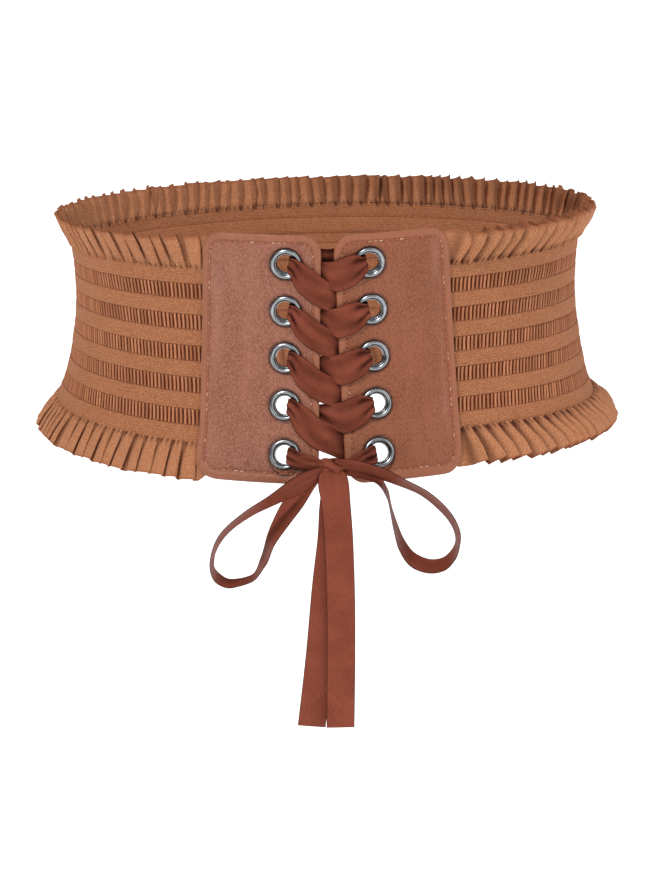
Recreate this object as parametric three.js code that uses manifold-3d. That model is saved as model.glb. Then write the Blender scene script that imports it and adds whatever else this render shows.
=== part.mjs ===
import * as THREE from "three";
import Module from "manifold-3d";
import { mergeVertices } from "three/addons/utils/BufferGeometryUtils.js";

const wasm = await Module();
wasm.setup();

// Sizes in millimetres. Z is up, the laced front faces -Y, the origin is the centre of the waist hollow.
const WAIST_HALF_WIDTH = 125.2;
const DEPTH_PER_WIDTH = 0.75;
const PANEL_HEIGHT = 112.4;
const PANEL_WIDTH = 53.3;
const PANEL_THICKNESS = 2;
const PANEL_CORNER_RADIUS = 9;
const PANEL_EDGE_ROUND = 1.2;
const GAP_AT_TOP = 5;
const GAP_AT_BOTTOM = 12.4;
const BAND_HEIGHT = 79.4;
const BAND_DROP = 0.5;
const BAND_THICKNESS = 1.8;
const ROW_COUNT = 5;
const ROW_HEIGHT = 6.4;
const ROW_PITCH = 14.3;
const ROW_DEPTH = 0.6;
const SIDE_TUCK = 7;
const TOP_RUFFLE_HEIGHT = 15.3;
const BOTTOM_RUFFLE_HEIGHT = 17.4;
const RUFFLE_THICKNESS = 1.2;
const PLEAT_PITCH = 7.2;
const PLEAT_DEPTH = 2.4;
const TOP_FLARE = 4.6;
const BOTTOM_FLARE = 3;
const PLEAT_LEAN = 3;
const PLEAT_ROOT_SHARE = 0.25;
const PLEAT_HEM_RISE = 0.3;
const EYELETS_PER_PANEL = 5;
const EYELET_TOP_MARGIN = 13.6;
const EYELET_BOTTOM_MARGIN = 10.4;
const EYELET_INSET = 15.8;
const EYELET_HOLE_RADIUS = 4.25;
const EYELET_WALL = 0.6;
const EYELET_FLANGE_RADIUS = 6.95;
const EYELET_CREST = 1.4;
const EYELET_BACK = 0.75;
const FLANGE_LIFT = 0.45;
const RIBBON_WIDTH = 13.3;
const RIBBON_THICKNESS = 1;
const KNOT_WIDTH = 10.5;
const KNOT_DEPTH_SHARE = 0.66;
const KNOT_HEIGHT_SHARE = 0.8;
const KNOT_GATHERS = 5;
const KNOT_GATHER_DEPTH = 0.06;
const KNOT_DROP_SHARE = 0.24;
const KNOT_STAND_SHARE = 0.36;
const BAR_RISE_SHARE = 0.16;
const BAR_WIDE_SHARE = 0.3;
const LOOP_REACH = 56;
const TAIL_LENGTH = 124;
const FIT = 0.3;

// The eyelets share the height between their margins evenly
const EYELET_PITCH = (PANEL_HEIGHT - EYELET_TOP_MARGIN - EYELET_BOTTOM_MARGIN) / (EYELETS_PER_PANEL - 1);

// Levels measured outward from the outer face of the elastic band
const PANEL_BACK = FIT;
const PANEL_FRONT = PANEL_BACK + PANEL_THICKNESS;
const FLANGE_UNDER = PANEL_FRONT + FLANGE_LIFT;
const FLANGE_TOP = FLANGE_UNDER + EYELET_CREST;
const BACK_FLANGE_TOP = PANEL_BACK - FIT;
const BACK_FLANGE_UNDER = BACK_FLANGE_TOP - EYELET_BACK;
const HALF_RIBBON = RIBBON_THICKNESS / 2;
const LACE_UNDER = BACK_FLANGE_UNDER - FIT - RIBBON_THICKNESS;
const LACE_EDGE_UNDER = PANEL_BACK - FIT - HALF_RIBBON;
const LACE_ON_PANEL = PANEL_FRONT + FIT + HALF_RIBBON;
const LACE_OVER_FLANGE = FLANGE_TOP + FIT + RIBBON_THICKNESS;

// How finely the surfaces are divided
const BAND_STEPS = 44;
const BAND_INNER_STEPS = 7;
const PANEL_COLUMNS = 7;
const PANEL_ROWS = 9;
const CORNER_DEGREES = [0, 25, 45, 65, 90];
const EYELET_SEGMENTS = 16;
const SECTION_STEPS = 720;
const KNOT_SEGMENTS = 16;
const KNOT_RINGS = 10;
const LACE_STEPS = 2;
const RIBBON_STEPS = 3;
const MERGE_DISTANCE = 1e-4;

const LEATHER = { color: 0x9c5f42, roughness: 0.55, metalness: 0 };
const ELASTIC = { color: 0xb87a58, roughness: 0.85, metalness: 0 };
const RIBBON = { color: 0x7d463a, roughness: 0.4, metalness: 0 };
const NICKEL = { color: 0xb4b6b8, roughness: 0.22, metalness: 1 };

// The body of the waist: half width of the section at each level.
// level is a share of the panel height, width a share of the waist half width.
const WAIST_SECTIONS = [
  { level: -0.75, width: 1.2 },
  { level: -0.5, width: 1.135 },
  { level: -0.36, width: 1.087 },
  { level: -0.27, width: 1.056 },
  { level: -0.18, width: 1.033 },
  { level: -0.08, width: 1.017 },
  { level: 0.04, width: 1.003 },
  { level: 0.16, width: 1 },
  { level: 0.25, width: 1.004 },
  { level: 0.35, width: 1.012 },
  { level: 0.5, width: 1.026 },
  { level: 0.7, width: 1.045 },
];

// One knife pleat: place along the pitch and how far it stands out, as a share of the pleat depth
const PLEAT_FOLD = [
  { along: 0, out: 0 },
  { along: 0.76, out: 1 },
];

// Ring of an eyelet, walked once round its cut section
const EYELET_PROFILE = [
  { radius: EYELET_HOLE_RADIUS, height: FLANGE_UNDER + EYELET_CREST * 0.45 },
  { radius: EYELET_HOLE_RADIUS + EYELET_WALL, height: FLANGE_TOP - EYELET_CREST * 0.05 },
  { radius: EYELET_FLANGE_RADIUS - EYELET_WALL, height: FLANGE_TOP - EYELET_CREST * 0.12 },
  { radius: EYELET_FLANGE_RADIUS, height: FLANGE_UNDER + EYELET_CREST * 0.32 },
  { radius: EYELET_FLANGE_RADIUS - EYELET_WALL / 4, height: FLANGE_UNDER },
  { radius: EYELET_HOLE_RADIUS + EYELET_WALL, height: FLANGE_UNDER },
  { radius: EYELET_HOLE_RADIUS + EYELET_WALL, height: BACK_FLANGE_TOP },
  { radius: EYELET_FLANGE_RADIUS - EYELET_WALL / 2, height: BACK_FLANGE_TOP },
  { radius: EYELET_FLANGE_RADIUS - EYELET_WALL, height: BACK_FLANGE_UNDER },
  { radius: EYELET_HOLE_RADIUS, height: BACK_FLANGE_UNDER },
];

// The lace rising through an eyelet and turning back over its flange.
// inward: distance from the eyelet centre toward the gap, as a share of the hole radius
// rise: share of the way from behind the panel to over the flange
// wide: height of the ribbon, as a share of the hole radius
const THROUGH_EYELET = [
  { inward: 1.95, rise: 0, wide: 1.65 },
  { inward: 1, rise: -0.03, wide: 1.4 },
  { inward: 0.58, rise: 0.08, wide: 1.2 },
  { inward: 0.48, rise: 0.3, wide: 1.2 },
  { inward: 0.48, rise: 0.68, wide: 1.2 },
  { inward: 0.66, rise: 0.94, wide: 1.3 },
  { inward: 1.1, rise: 1, wide: 1.6 },
  { inward: 1.72, rise: 0.97, wide: 1.9 },
];

// The lace crossing the gap from its own panel to behind the other one.
// side 1 is its own panel edge, -1 the other one; past: distance beyond that edge as a share of
// the eyelet inset; down and wide: shares of the eyelet pitch
const CROSSING_FROM_LEFT = [
  { side: 1, past: 0.36, level: LACE_ON_PANEL + RIBBON_THICKNESS / 2, down: 0.36, wide: 0.47 },
  { side: 1, past: 0.06, level: LACE_ON_PANEL, down: 0.66, wide: 0.5 },
  { side: 1, past: 0, level: LACE_ON_PANEL, down: 0.69, wide: 0.49 },
  { side: 0, past: 0, level: (LACE_ON_PANEL + LACE_EDGE_UNDER) / 2, down: 0.72, wide: 0.44 },
  { side: -1, past: 0, level: LACE_EDGE_UNDER, down: 0.74, wide: 0.4 },
  { side: -1, past: 0.14, level: LACE_EDGE_UNDER - FIT, down: 0.8, wide: 0.38 },
  { side: -1, past: 0.3, level: LACE_UNDER + FIT, down: 0.9, wide: 0.36 },
];
const CROSSING_FROM_RIGHT = [
  { side: 1, past: 0.36, level: LACE_ON_PANEL + RIBBON_THICKNESS / 2, down: 0.13, wide: 0.5 },
  { side: 1, past: 0.06, level: LACE_ON_PANEL, down: 0.23, wide: 0.54 },
  { side: 1, past: 0, level: LACE_ON_PANEL, down: 0.245, wide: 0.53 },
  { side: 0, past: 0, level: (LACE_ON_PANEL + LACE_EDGE_UNDER) / 2, down: 0.25, wide: 0.46 },
  { side: -1, past: 0, level: LACE_EDGE_UNDER, down: 0.25, wide: 0.41 },
  { side: -1, past: 0.14, level: LACE_EDGE_UNDER - FIT, down: 0.42, wide: 0.38 },
  { side: -1, past: 0.3, level: LACE_UNDER + FIT, down: 0.66, wide: 0.36 },
];

// The lace running from the last eyelet to the knot. toKnot: share of the way from the eyelet centre
const END_TO_KNOT = [
  { toKnot: 0.46, out: 0.1, down: 0.3, wide: 0.34 },
  { toKnot: 0.62, out: 0.5, down: 0.62, wide: 0.24 },
  { toKnot: 0.735, out: 0.9, down: 0.92, wide: 0.16 },
];

// Bow loops from the knot round and back: across, out and up as shares of the loop reach;
// turn: how far the ribbon turns edge-on to the front, as a share of a quarter turn
const LEFT_LOOP = [
  { across: -0.104, out: 0.04, up: -0.01, turn: 0.5, wide: 0.3 },
  { across: -0.2, out: 0.09, up: -0.045, turn: 0.45, wide: 0.6 },
  { across: -0.36, out: 0.13, up: -0.1, turn: 0.45, wide: 0.85 },
  { across: -0.6, out: 0.2, up: -0.2, turn: 0.5, wide: 1 },
  { across: -0.84, out: 0.26, up: -0.38, turn: 0.72, wide: 1 },
  { across: -0.97, out: 0.27, up: -0.6, turn: 0.95, wide: 1 },
  { across: -0.95, out: 0.25, up: -0.8, turn: 0.86, wide: 1 },
  { across: -0.82, out: 0.2, up: -0.9, turn: 0.8, wide: 1 },
  { across: -0.66, out: 0.13, up: -0.84, turn: 0.8, wide: 1 },
  { across: -0.52, out: 0.06, up: -0.66, turn: 0.62, wide: 1 },
  { across: -0.4, out: 0, up: -0.42, turn: 0.45, wide: 0.95 },
  { across: -0.24, out: -0.02, up: -0.22, turn: 0.45, wide: 0.65 },
  { across: -0.1, out: 0, up: -0.075, turn: 0.5, wide: 0.25 },
];
const RIGHT_LOOP = [
  { across: 0.108, out: 0.05, up: 0.02, turn: -0.5, wide: 0.3 },
  { across: 0.3, out: 0.13, up: 0.05, turn: -0.62, wide: 0.7 },
  { across: 0.53, out: 0.2, up: -0.05, turn: -0.74, wide: 1 },
  { across: 0.76, out: 0.25, up: -0.24, turn: -0.8, wide: 1 },
  { across: 0.92, out: 0.26, up: -0.44, turn: -0.88, wide: 1 },
  { across: 0.98, out: 0.24, up: -0.62, turn: -0.97, wide: 1 },
  { across: 0.9, out: 0.2, up: -0.79, turn: -0.78, wide: 1 },
  { across: 0.75, out: 0.18, up: -0.86, turn: -0.68, wide: 1 },
  { across: 0.59, out: 0.15, up: -0.78, turn: -0.7, wide: 1 },
  { across: 0.5, out: 0.12, up: -0.6, turn: -0.82, wide: 1 },
  { across: 0.45, out: 0.1, up: -0.38, turn: -0.88, wide: 1 },
  { across: 0.38, out: 0.1, up: -0.2, turn: -0.86, wide: 0.85 },
  { across: 0.24, out: 0.07, up: -0.09, turn: -0.8, wide: 0.55 },
  { across: 0.108, out: 0.01, up: -0.05, turn: -0.7, wide: 0.25 },
];

// Hanging tails: across and out in shares of the ribbon width, down as a share of the tail length
const LEFT_TAIL = [
  { across: 0.02, out: -0.02, down: 0.037, wide: 0.5 },
  { across: 0.1, out: -0.04, down: 0.14, wide: 0.95 },
  { across: 0, out: -0.06, down: 0.28, wide: 1 },
  { across: -0.24, out: -0.06, down: 0.46, wide: 1 },
  { across: -0.58, out: -0.05, down: 0.73, wide: 1 },
  { across: -0.92, out: -0.03, down: 1, wide: 1 },
];
const RIGHT_TAIL = [
  { across: 0.05, out: 0.14, down: 0.034, wide: 0.5 },
  { across: 0.11, out: 0.2, down: 0.14, wide: 0.95 },
  { across: 0.18, out: 0.17, down: 0.28, wide: 1 },
  { across: 0.21, out: 0.14, down: 0.5, wide: 1 },
  { across: 0.18, out: 0.12, down: 0.74, wide: 1 },
  { across: 0.11, out: 0.13, down: 1, wide: 1 },
];

// Smooth reading of a table column between its rows, with level tangents shared by neighbours
function readTable(rows, key, value, at) {
  const last = rows.length - 1;
  let i = 0;
  while (i < last - 1 && at > rows[i + 1][key]) i += 1;
  const slope = (k) => {
    const low = rows[Math.max(k - 1, 0)];
    const high = rows[Math.min(k + 1, last)];
    return (high[value] - low[value]) / (high[key] - low[key]);
  };
  const span = rows[i + 1][key] - rows[i][key];
  const t = THREE.MathUtils.clamp((at - rows[i][key]) / span, 0, 1);
  const rise = rows[i + 1][value] - rows[i][value];
  const startSlope = slope(i) * span;
  const endSlope = slope(i + 1) * span;
  const bend = t * (1 - t) * ((1 - t) * (startSlope - rise) - t * (endSlope - rise));
  return rows[i][value] + rise * t + bend;
}

function halfWidthAt(z) {
  return WAIST_HALF_WIDTH * readTable(WAIST_SECTIONS, "level", "width", z / PANEL_HEIGHT);
}

// Running length of the waist section for a half width of one, from the front centre
const sectionLength = [0];
for (let k = 1; k <= SECTION_STEPS; k += 1) {
  const middle = ((k - 0.5) / SECTION_STEPS) * Math.PI;
  const step = Math.hypot(Math.cos(middle), DEPTH_PER_WIDTH * Math.sin(middle));
  sectionLength.push(sectionLength[k - 1] + (step * Math.PI) / SECTION_STEPS);
}
const HALF_ROUND = sectionLength[SECTION_STEPS];

function angleAt(share) {
  const length = Math.abs(share);
  if (length > HALF_ROUND) return Math.sign(share) * (2 * Math.PI - angleAt(2 * HALF_ROUND - length));
  let low = 0;
  let high = SECTION_STEPS;
  while (high - low > 1) {
    const middle = (low + high) >> 1;
    if (sectionLength[middle] > length) high = middle;
    else low = middle;
  }
  const part = (length - sectionLength[low]) / (sectionLength[high] - sectionLength[low]);
  return (Math.sign(share) * (low + part) * Math.PI) / SECTION_STEPS;
}

// A place on the waist: along the section from the front centre, height, distance outward
function onWaist(along, z, out) {
  const width = halfWidthAt(z);
  const depth = width * DEPTH_PER_WIDTH;
  const growth = halfWidthAt(z + 0.5) - halfWidthAt(z - 0.5);
  const angle = angleAt(along / width);
  const sin = Math.sin(angle);
  const cos = Math.cos(angle);
  const normal = new THREE.Vector3(sin / width, -cos / depth, -growth / width).normalize();
  return new THREE.Vector3(width * sin, -depth * cos, z).addScaledVector(normal, out);
}

function halfGapAt(z) {
  const share = 0.5 - z / PANEL_HEIGHT;
  return (GAP_AT_TOP + (GAP_AT_BOTTOM - GAP_AT_TOP) * share) / 2;
}

function panelOuterEdge(z) {
  return halfGapAt(z) + PANEL_WIDTH;
}

// Closed body from a grid of front points and a grid of back points of the same size
function closedShell(front, back) {
  const rows = front.length;
  const columns = front[0].length;
  const positions = [];
  for (const grid of [front, back]) {
    for (const row of grid) {
      for (const point of row) positions.push(point.x, point.y, point.z);
    }
  }
  const total = rows * columns;
  const index = [];
  const quad = (a, b, c, d) => index.push(a, b, c, a, c, d);
  for (let r = 0; r < rows - 1; r += 1) {
    for (let c = 0; c < columns - 1; c += 1) {
      const a = r * columns + c;
      quad(a, a + 1, a + columns + 1, a + columns);
      quad(total + a, total + a + columns, total + a + columns + 1, total + a + 1);
    }
  }
  for (let r = 0; r < rows - 1; r += 1) {
    const a = r * columns;
    const b = a + columns - 1;
    quad(a, a + columns, total + a + columns, total + a);
    quad(b + columns, b, total + b, total + b + columns);
  }
  for (let c = 0; c < columns - 1; c += 1) {
    const b = (rows - 1) * columns + c;
    quad(c + 1, c, total + c, total + c + 1);
    quad(b, b + 1, total + b + 1, total + b);
  }
  const geometry = new THREE.BufferGeometry();
  geometry.setAttribute("position", new THREE.Float32BufferAttribute(positions, 3));
  geometry.setIndex(index);
  return facingOut(geometry);
}

// Triangles that close the end between an outer and an inner edge, climbing both together
function endTriangles(outer, inner) {
  const triangles = [];
  const topIndex = outer.length + inner.length - 1;
  let a = 0;
  let b = 0;
  while (a < outer.length - 1 || b < inner.length - 1) {
    const outerNext = a < outer.length - 1 ? outer[a + 1].z : Infinity;
    const innerNext = b < inner.length - 1 ? inner[b + 1].z : Infinity;
    if (outerNext <= innerNext) {
      triangles.push([a, a + 1, topIndex - b]);
      a += 1;
    } else {
      triangles.push([a, topIndex - b - 1, topIndex - b]);
      b += 1;
    }
  }
  return triangles;
}

// Closed wall whose cut section runs up an outer edge and down an inner one, carried along stations
function sweptWall(outer, inner, last, placeAt) {
  const outline = [...outer, ...inner.slice().reverse()];
  const sides = outline.length;
  const positions = [];
  const index = [];
  for (let k = 0; k <= last; k += 1) {
    for (const corner of outline) positions.push(...placeAt(corner, k / last).toArray());
  }
  for (let k = 0; k < last; k += 1) {
    for (let n = 0; n < sides; n += 1) {
      const a = k * sides + n;
      const b = k * sides + ((n + 1) % sides);
      index.push(a, b, b + sides, a, b + sides, a + sides);
    }
  }
  for (const [a, b, c] of endTriangles(outer, inner)) {
    index.push(c, b, a, last * sides + a, last * sides + b, last * sides + c);
  }
  const geometry = new THREE.BufferGeometry();
  geometry.setAttribute("position", new THREE.Float32BufferAttribute(positions, 3));
  geometry.setIndex(index);
  return facingOut(geometry);
}

// Turns every face over when the body encloses a negative volume
function facingOut(geometry) {
  const place = geometry.attributes.position;
  const index = geometry.index.array;
  const corner = [0, 1, 2].map(() => new THREE.Vector3());
  let volume = 0;
  for (let k = 0; k < index.length; k += 3) {
    corner.forEach((point, n) => point.fromBufferAttribute(place, index[k + n]));
    volume += corner[0].dot(corner[1].cross(corner[2]));
  }
  if (volume < 0) {
    for (let k = 0; k < index.length; k += 3) [index[k], index[k + 1]] = [index[k + 1], index[k]];
  }
  geometry.computeVertexNormals();
  return geometry;
}

function toSolid(geometry) {
  const bare = geometry.clone();
  bare.deleteAttribute("normal");
  if (bare.attributes.uv) bare.deleteAttribute("uv");
  const merged = mergeVertices(bare, MERGE_DISTANCE);
  return new wasm.Manifold(
    new wasm.Mesh({
      numProp: 3,
      vertProperties: new Float32Array(merged.attributes.position.array),
      triVerts: new Uint32Array(merged.index.array),
    }),
  );
}

function fromSolid(solid) {
  const mesh = solid.getMesh();
  const geometry = new THREE.BufferGeometry();
  geometry.setAttribute("position", new THREE.BufferAttribute(mesh.vertProperties.slice(), 3));
  geometry.setIndex(new THREE.BufferAttribute(mesh.triVerts.slice(), 1));
  geometry.computeVertexNormals();
  return geometry;
}

function namedMesh(name, geometry, look) {
  const mesh = new THREE.Mesh(geometry, new THREE.MeshStandardMaterial(look));
  mesh.name = name;
  return mesh;
}

function eyeletHeight(index) {
  return PANEL_HEIGHT / 2 - EYELET_TOP_MARGIN - index * EYELET_PITCH;
}

function eyeletAlong(index) {
  return halfGapAt(eyeletHeight(index)) + EYELET_INSET;
}

// Turns a shape standing on +Z so that it stands outward from the waist at a place
function standOnWaist(geometry, along, z) {
  const foot = onWaist(along, z, 0);
  const outward = onWaist(along, z, 1).sub(foot);
  const turn = new THREE.Quaternion().setFromUnitVectors(new THREE.Vector3(0, 0, 1), outward);
  return geometry.applyQuaternion(turn).translate(foot.x, foot.y, foot.z);
}

// Heights of the grid rows of a panel: closer together round the corners
function panelRows() {
  const straight = PANEL_HEIGHT / 2 - PANEL_CORNER_RADIUS;
  const heights = [];
  for (const degrees of CORNER_DEGREES) {
    heights.push(straight + PANEL_CORNER_RADIUS * Math.cos(THREE.MathUtils.degToRad(degrees)));
  }
  for (let k = 1; k < PANEL_ROWS; k += 1) heights.push(straight * (1 - (2 * k) / PANEL_ROWS));
  const corner = heights.slice(0, CORNER_DEGREES.length).reverse();
  return [...heights, ...corner.map((z) => -z)];
}

// How far a panel's side is drawn in at a height by its rounded corners
function cornerInset(z) {
  const beyond = Math.abs(z) - (PANEL_HEIGHT / 2 - PANEL_CORNER_RADIUS);
  if (beyond <= 0) return 0;
  return PANEL_CORNER_RADIUS - Math.sqrt(Math.max(PANEL_CORNER_RADIUS ** 2 - beyond ** 2, 0));
}

function panelShape(side) {
  const front = [];
  const back = [];
  for (const z of panelRows()) {
    const inset = cornerInset(z);
    const start = halfGapAt(z) + inset;
    const end = panelOuterEdge(z) - inset;
    const innerRound = start + PANEL_EDGE_ROUND;
    const outerRound = end - PANEL_EDGE_ROUND;
    const across = [start];
    for (let c = 0; c <= PANEL_COLUMNS; c += 1) {
      across.push(THREE.MathUtils.lerp(innerRound, outerRound, c / PANEL_COLUMNS));
    }
    across.push(end);
    const toEnd = PANEL_HEIGHT / 2 - Math.abs(z);
    front.push([]);
    back.push([]);
    for (const along of across) {
      const toEdge = Math.min(along - start, end - along, toEnd);
      const thinned = (1 - Math.min(toEdge / PANEL_EDGE_ROUND, 1)) * (PANEL_THICKNESS / 4);
      front.at(-1).push(onWaist(side * along, z, PANEL_FRONT - thinned));
      back.at(-1).push(onWaist(side * along, z, PANEL_BACK + thinned));
    }
  }
  return closedShell(front, back);
}

// A leather front panel with its holes for the eyelets
function panel(name, side) {
  let solid = toSolid(panelShape(side));
  const holeRadius = EYELET_HOLE_RADIUS + EYELET_WALL + FIT;
  for (let k = 0; k < EYELETS_PER_PANEL; k += 1) {
    const punch = new THREE.CylinderGeometry(holeRadius, holeRadius, 5 * PANEL_THICKNESS, EYELET_SEGMENTS);
    punch.rotateX(Math.PI / 2).translate(0, 0, PANEL_FRONT - PANEL_THICKNESS / 2);
    standOnWaist(punch, side * eyeletAlong(k), eyeletHeight(k));
    solid = solid.subtract(toSolid(punch));
  }
  return namedMesh(name, fromSolid(solid), LEATHER);
}

// Outer edge of the band's cut section from the bottom up: sunk rows between raised strips
function bandOuterEdge() {
  const edge = [{ z: -BAND_DROP - BAND_HEIGHT / 2, out: 0 }];
  for (let row = 0; row < ROW_COUNT; row += 1) {
    const centre = -BAND_DROP + (row - (ROW_COUNT - 1) / 2) * ROW_PITCH;
    edge.push({ z: centre - ROW_HEIGHT / 2, out: 0 });
    edge.push({ z: centre - ROW_HEIGHT / 2 + ROW_DEPTH / 2, out: -ROW_DEPTH });
    edge.push({ z: centre + ROW_HEIGHT / 2 - ROW_DEPTH / 2, out: -ROW_DEPTH });
    edge.push({ z: centre + ROW_HEIGHT / 2, out: 0 });
  }
  edge.push({ z: -BAND_DROP + BAND_HEIGHT / 2, out: 0 });
  return edge;
}

function bandInnerEdge() {
  const edge = [];
  for (let k = 0; k <= BAND_INNER_STEPS; k += 1) {
    const z = -BAND_DROP + BAND_HEIGHT * (k / BAND_INNER_STEPS - 0.5);
    edge.push({ z, out: -BAND_THICKNESS });
  }
  return edge;
}

// Places round the back of the waist from behind one panel to behind the other
function alongBack(z, share) {
  const start = panelOuterEdge(z) - SIDE_TUCK;
  return THREE.MathUtils.lerp(start, 2 * HALF_ROUND * halfWidthAt(z) - start, share);
}

function elasticBand() {
  const place = (corner, share) => onWaist(alongBack(corner.z, share), corner.z, corner.out);
  const wall = sweptWall(bandOuterEdge(), bandInnerEdge(), BAND_STEPS, place);
  return namedMesh("elastic_band", wall, ELASTIC);
}

// A pleated ruffle sewn along one edge of the band, flaring out and flattening where it is tucked
function ruffle(name, direction, height, flare) {
  const root = direction * (BAND_HEIGHT / 2 + FIT) - BAND_DROP;
  const length = 2 * (HALF_ROUND * halfWidthAt(root) - panelOuterEdge(root));
  const pleats = Math.round(length / PLEAT_PITCH);
  const tuckShare = SIDE_TUCK / (length + 2 * SIDE_TUCK);
  const places = [{ share: 0, out: 0 }];
  for (let k = 0; k < pleats; k += 1) {
    for (const fold of PLEAT_FOLD) {
      const share = THREE.MathUtils.lerp(tuckShare, 1 - tuckShare, (k + fold.along) / pleats);
      places.push({ share, out: fold.out });
    }
  }
  places.push({ share: 1 - tuckShare, out: 0 }, { share: 1, out: 0 });
  const front = [];
  const back = [];
  for (const place of places) {
    const fromEnd = Math.min(place.share, 1 - place.share) / tuckShare - 1;
    const fade = THREE.MathUtils.smoothstep(fromEnd, 0, 1);
    const hem = root + direction * (height - place.out * PLEAT_DEPTH * PLEAT_HEM_RISE * fade);
    const lean = Math.sign(0.5 - place.share) * PLEAT_LEAN * fade;
    const rootOut = place.out * PLEAT_DEPTH * PLEAT_ROOT_SHARE * fade;
    const hemOut = (flare + (place.out - 0.5) * PLEAT_DEPTH) * fade;
    const rootAlong = alongBack(root, place.share);
    const hemAlong = alongBack(hem, place.share) + lean;
    front.push([onWaist(rootAlong, root, rootOut), onWaist(hemAlong, hem, hemOut)]);
    back.push([
      onWaist(rootAlong, root, rootOut - RUFFLE_THICKNESS),
      onWaist(hemAlong, hem, hemOut - RUFFLE_THICKNESS),
    ]);
  }
  return namedMesh(name, closedShell(front, back), ELASTIC);
}

function eyelet(name, side, index) {
  const ring = EYELET_PROFILE.map((p) => new THREE.Vector2(p.radius, p.height));
  ring.push(ring[0].clone());
  const geometry = new THREE.LatheGeometry(ring, EYELET_SEGMENTS).rotateX(Math.PI / 2);
  standOnWaist(geometry, side * eyeletAlong(index), eyeletHeight(index));
  geometry.deleteAttribute("normal");
  geometry.deleteAttribute("uv");
  return namedMesh(name, facingOut(mergeVertices(geometry, MERGE_DISTANCE)), NICKEL);
}

// Places of the lace as it rises through one eyelet
function eyeletPassage(side, index) {
  const z = eyeletHeight(index);
  return THROUGH_EYELET.map((row) => ({
    along: side * (eyeletAlong(index) - row.inward * EYELET_HOLE_RADIUS),
    z,
    out: THREE.MathUtils.lerp(LACE_UNDER, LACE_OVER_FLANGE, row.rise),
    wide: row.wide * EYELET_HOLE_RADIUS,
  }));
}

function crossing(side, index) {
  const table = side < 0 ? CROSSING_FROM_LEFT : CROSSING_FROM_RIGHT;
  return table.map((row) => {
    const z = eyeletHeight(index) - row.down * EYELET_PITCH;
    const past = row.past * EYELET_INSET;
    return {
      along: side * row.side * (halfGapAt(z) + past),
      z,
      out: row.level,
      wide: row.wide * EYELET_PITCH,
    };
  });
}

const KNOT_HEIGHT = eyeletHeight(EYELETS_PER_PANEL - 1) - EYELET_PITCH * KNOT_DROP_SHARE;
const KNOT_OUT = LACE_ON_PANEL + KNOT_WIDTH * KNOT_STAND_SHARE;

// From the last eyelet to beside the knot
function endToKnot(side) {
  const last = EYELETS_PER_PANEL - 1;
  const start = eyeletAlong(last);
  const drop = eyeletHeight(last) - KNOT_HEIGHT;
  return END_TO_KNOT.map((row) => ({
    along: side * start * (1 - row.toKnot),
    z: eyeletHeight(last) - row.down * drop,
    out: THREE.MathUtils.lerp(LACE_OVER_FLANGE, KNOT_OUT, row.out),
    wide: row.wide * EYELET_PITCH,
  }));
}

// Half of the lace: out of a top eyelet, down from side to side, ending beside the knot
function halfLace(firstSide) {
  const path = [];
  let side = firstSide;
  for (let k = 0; k < EYELETS_PER_PANEL; k += 1) {
    path.push(...eyeletPassage(side, k));
    const isLast = k === EYELETS_PER_PANEL - 1;
    path.push(...(isLast ? endToKnot(side) : crossing(side, k)));
    side = -side;
  }
  return path;
}

// The one ribbon laced through all the eyelets, with its straight part behind the top pair
function lace() {
  const barHeight = eyeletHeight(0) + EYELET_PITCH * BAR_RISE_SHARE;
  const bar = [-1, 0, 1].map((share) => ({
    along: (share * EYELET_INSET) / 3,
    z: barHeight,
    out: LACE_UNDER + FIT * (1 - Math.abs(share)),
    wide: EYELET_PITCH * BAR_WIDE_SHARE,
  }));
  const path = [...halfLace(-1).reverse(), ...bar, ...halfLace(1)];
  const middle = new THREE.CatmullRomCurve3(
    path.map((p) => new THREE.Vector3(p.along, p.z, p.out)),
    false,
    "centripetal",
  );
  const steps = LACE_STEPS * (path.length - 1);
  const front = [];
  const back = [];
  for (let k = 0; k <= steps; k += 1) {
    const share = k / steps;
    const point = middle.getPoint(share);
    const run = middle.getTangent(share);
    const flat = Math.hypot(run.x, run.z);
    const low = path[Math.floor(k / LACE_STEPS)].wide;
    const high = path[Math.ceil(k / LACE_STEPS)].wide;
    const half = (low + high) / 4;
    const edge = (face) => {
      const along = point.x - (face * HALF_RIBBON * run.z) / flat;
      const out = point.z + (face * HALF_RIBBON * run.x) / flat;
      return [onWaist(along, point.y - half, out), onWaist(along, point.y + half, out)];
    };
    front.push(edge(1));
    back.push(edge(-1));
  }
  return namedMesh("lace", closedShell(front, back), RIBBON);
}

function knotCentre() {
  return onWaist(0, KNOT_HEIGHT, KNOT_OUT);
}

// The knot: a squeezed ball of ribbon with shallow gathers running over it
function knot() {
  const geometry = new THREE.SphereGeometry(0.5, KNOT_SEGMENTS, KNOT_RINGS);
  geometry.deleteAttribute("normal");
  geometry.deleteAttribute("uv");
  const ball = mergeVertices(geometry, MERGE_DISTANCE);
  const place = ball.attributes.position;
  const centre = knotCentre();
  for (let k = 0; k < place.count; k += 1) {
    const point = new THREE.Vector3().fromBufferAttribute(place, k);
    const gather = 1 + KNOT_GATHER_DEPTH * Math.cos(KNOT_GATHERS * Math.atan2(point.z, point.x));
    point.y *= KNOT_DEPTH_SHARE;
    point.z *= KNOT_HEIGHT_SHARE;
    point.multiplyScalar(KNOT_WIDTH * gather).add(centre);
    place.setXYZ(k, point.x, point.y, point.z);
  }
  return namedMesh("bow_knot", facingOut(ball), RIBBON);
}

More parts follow.
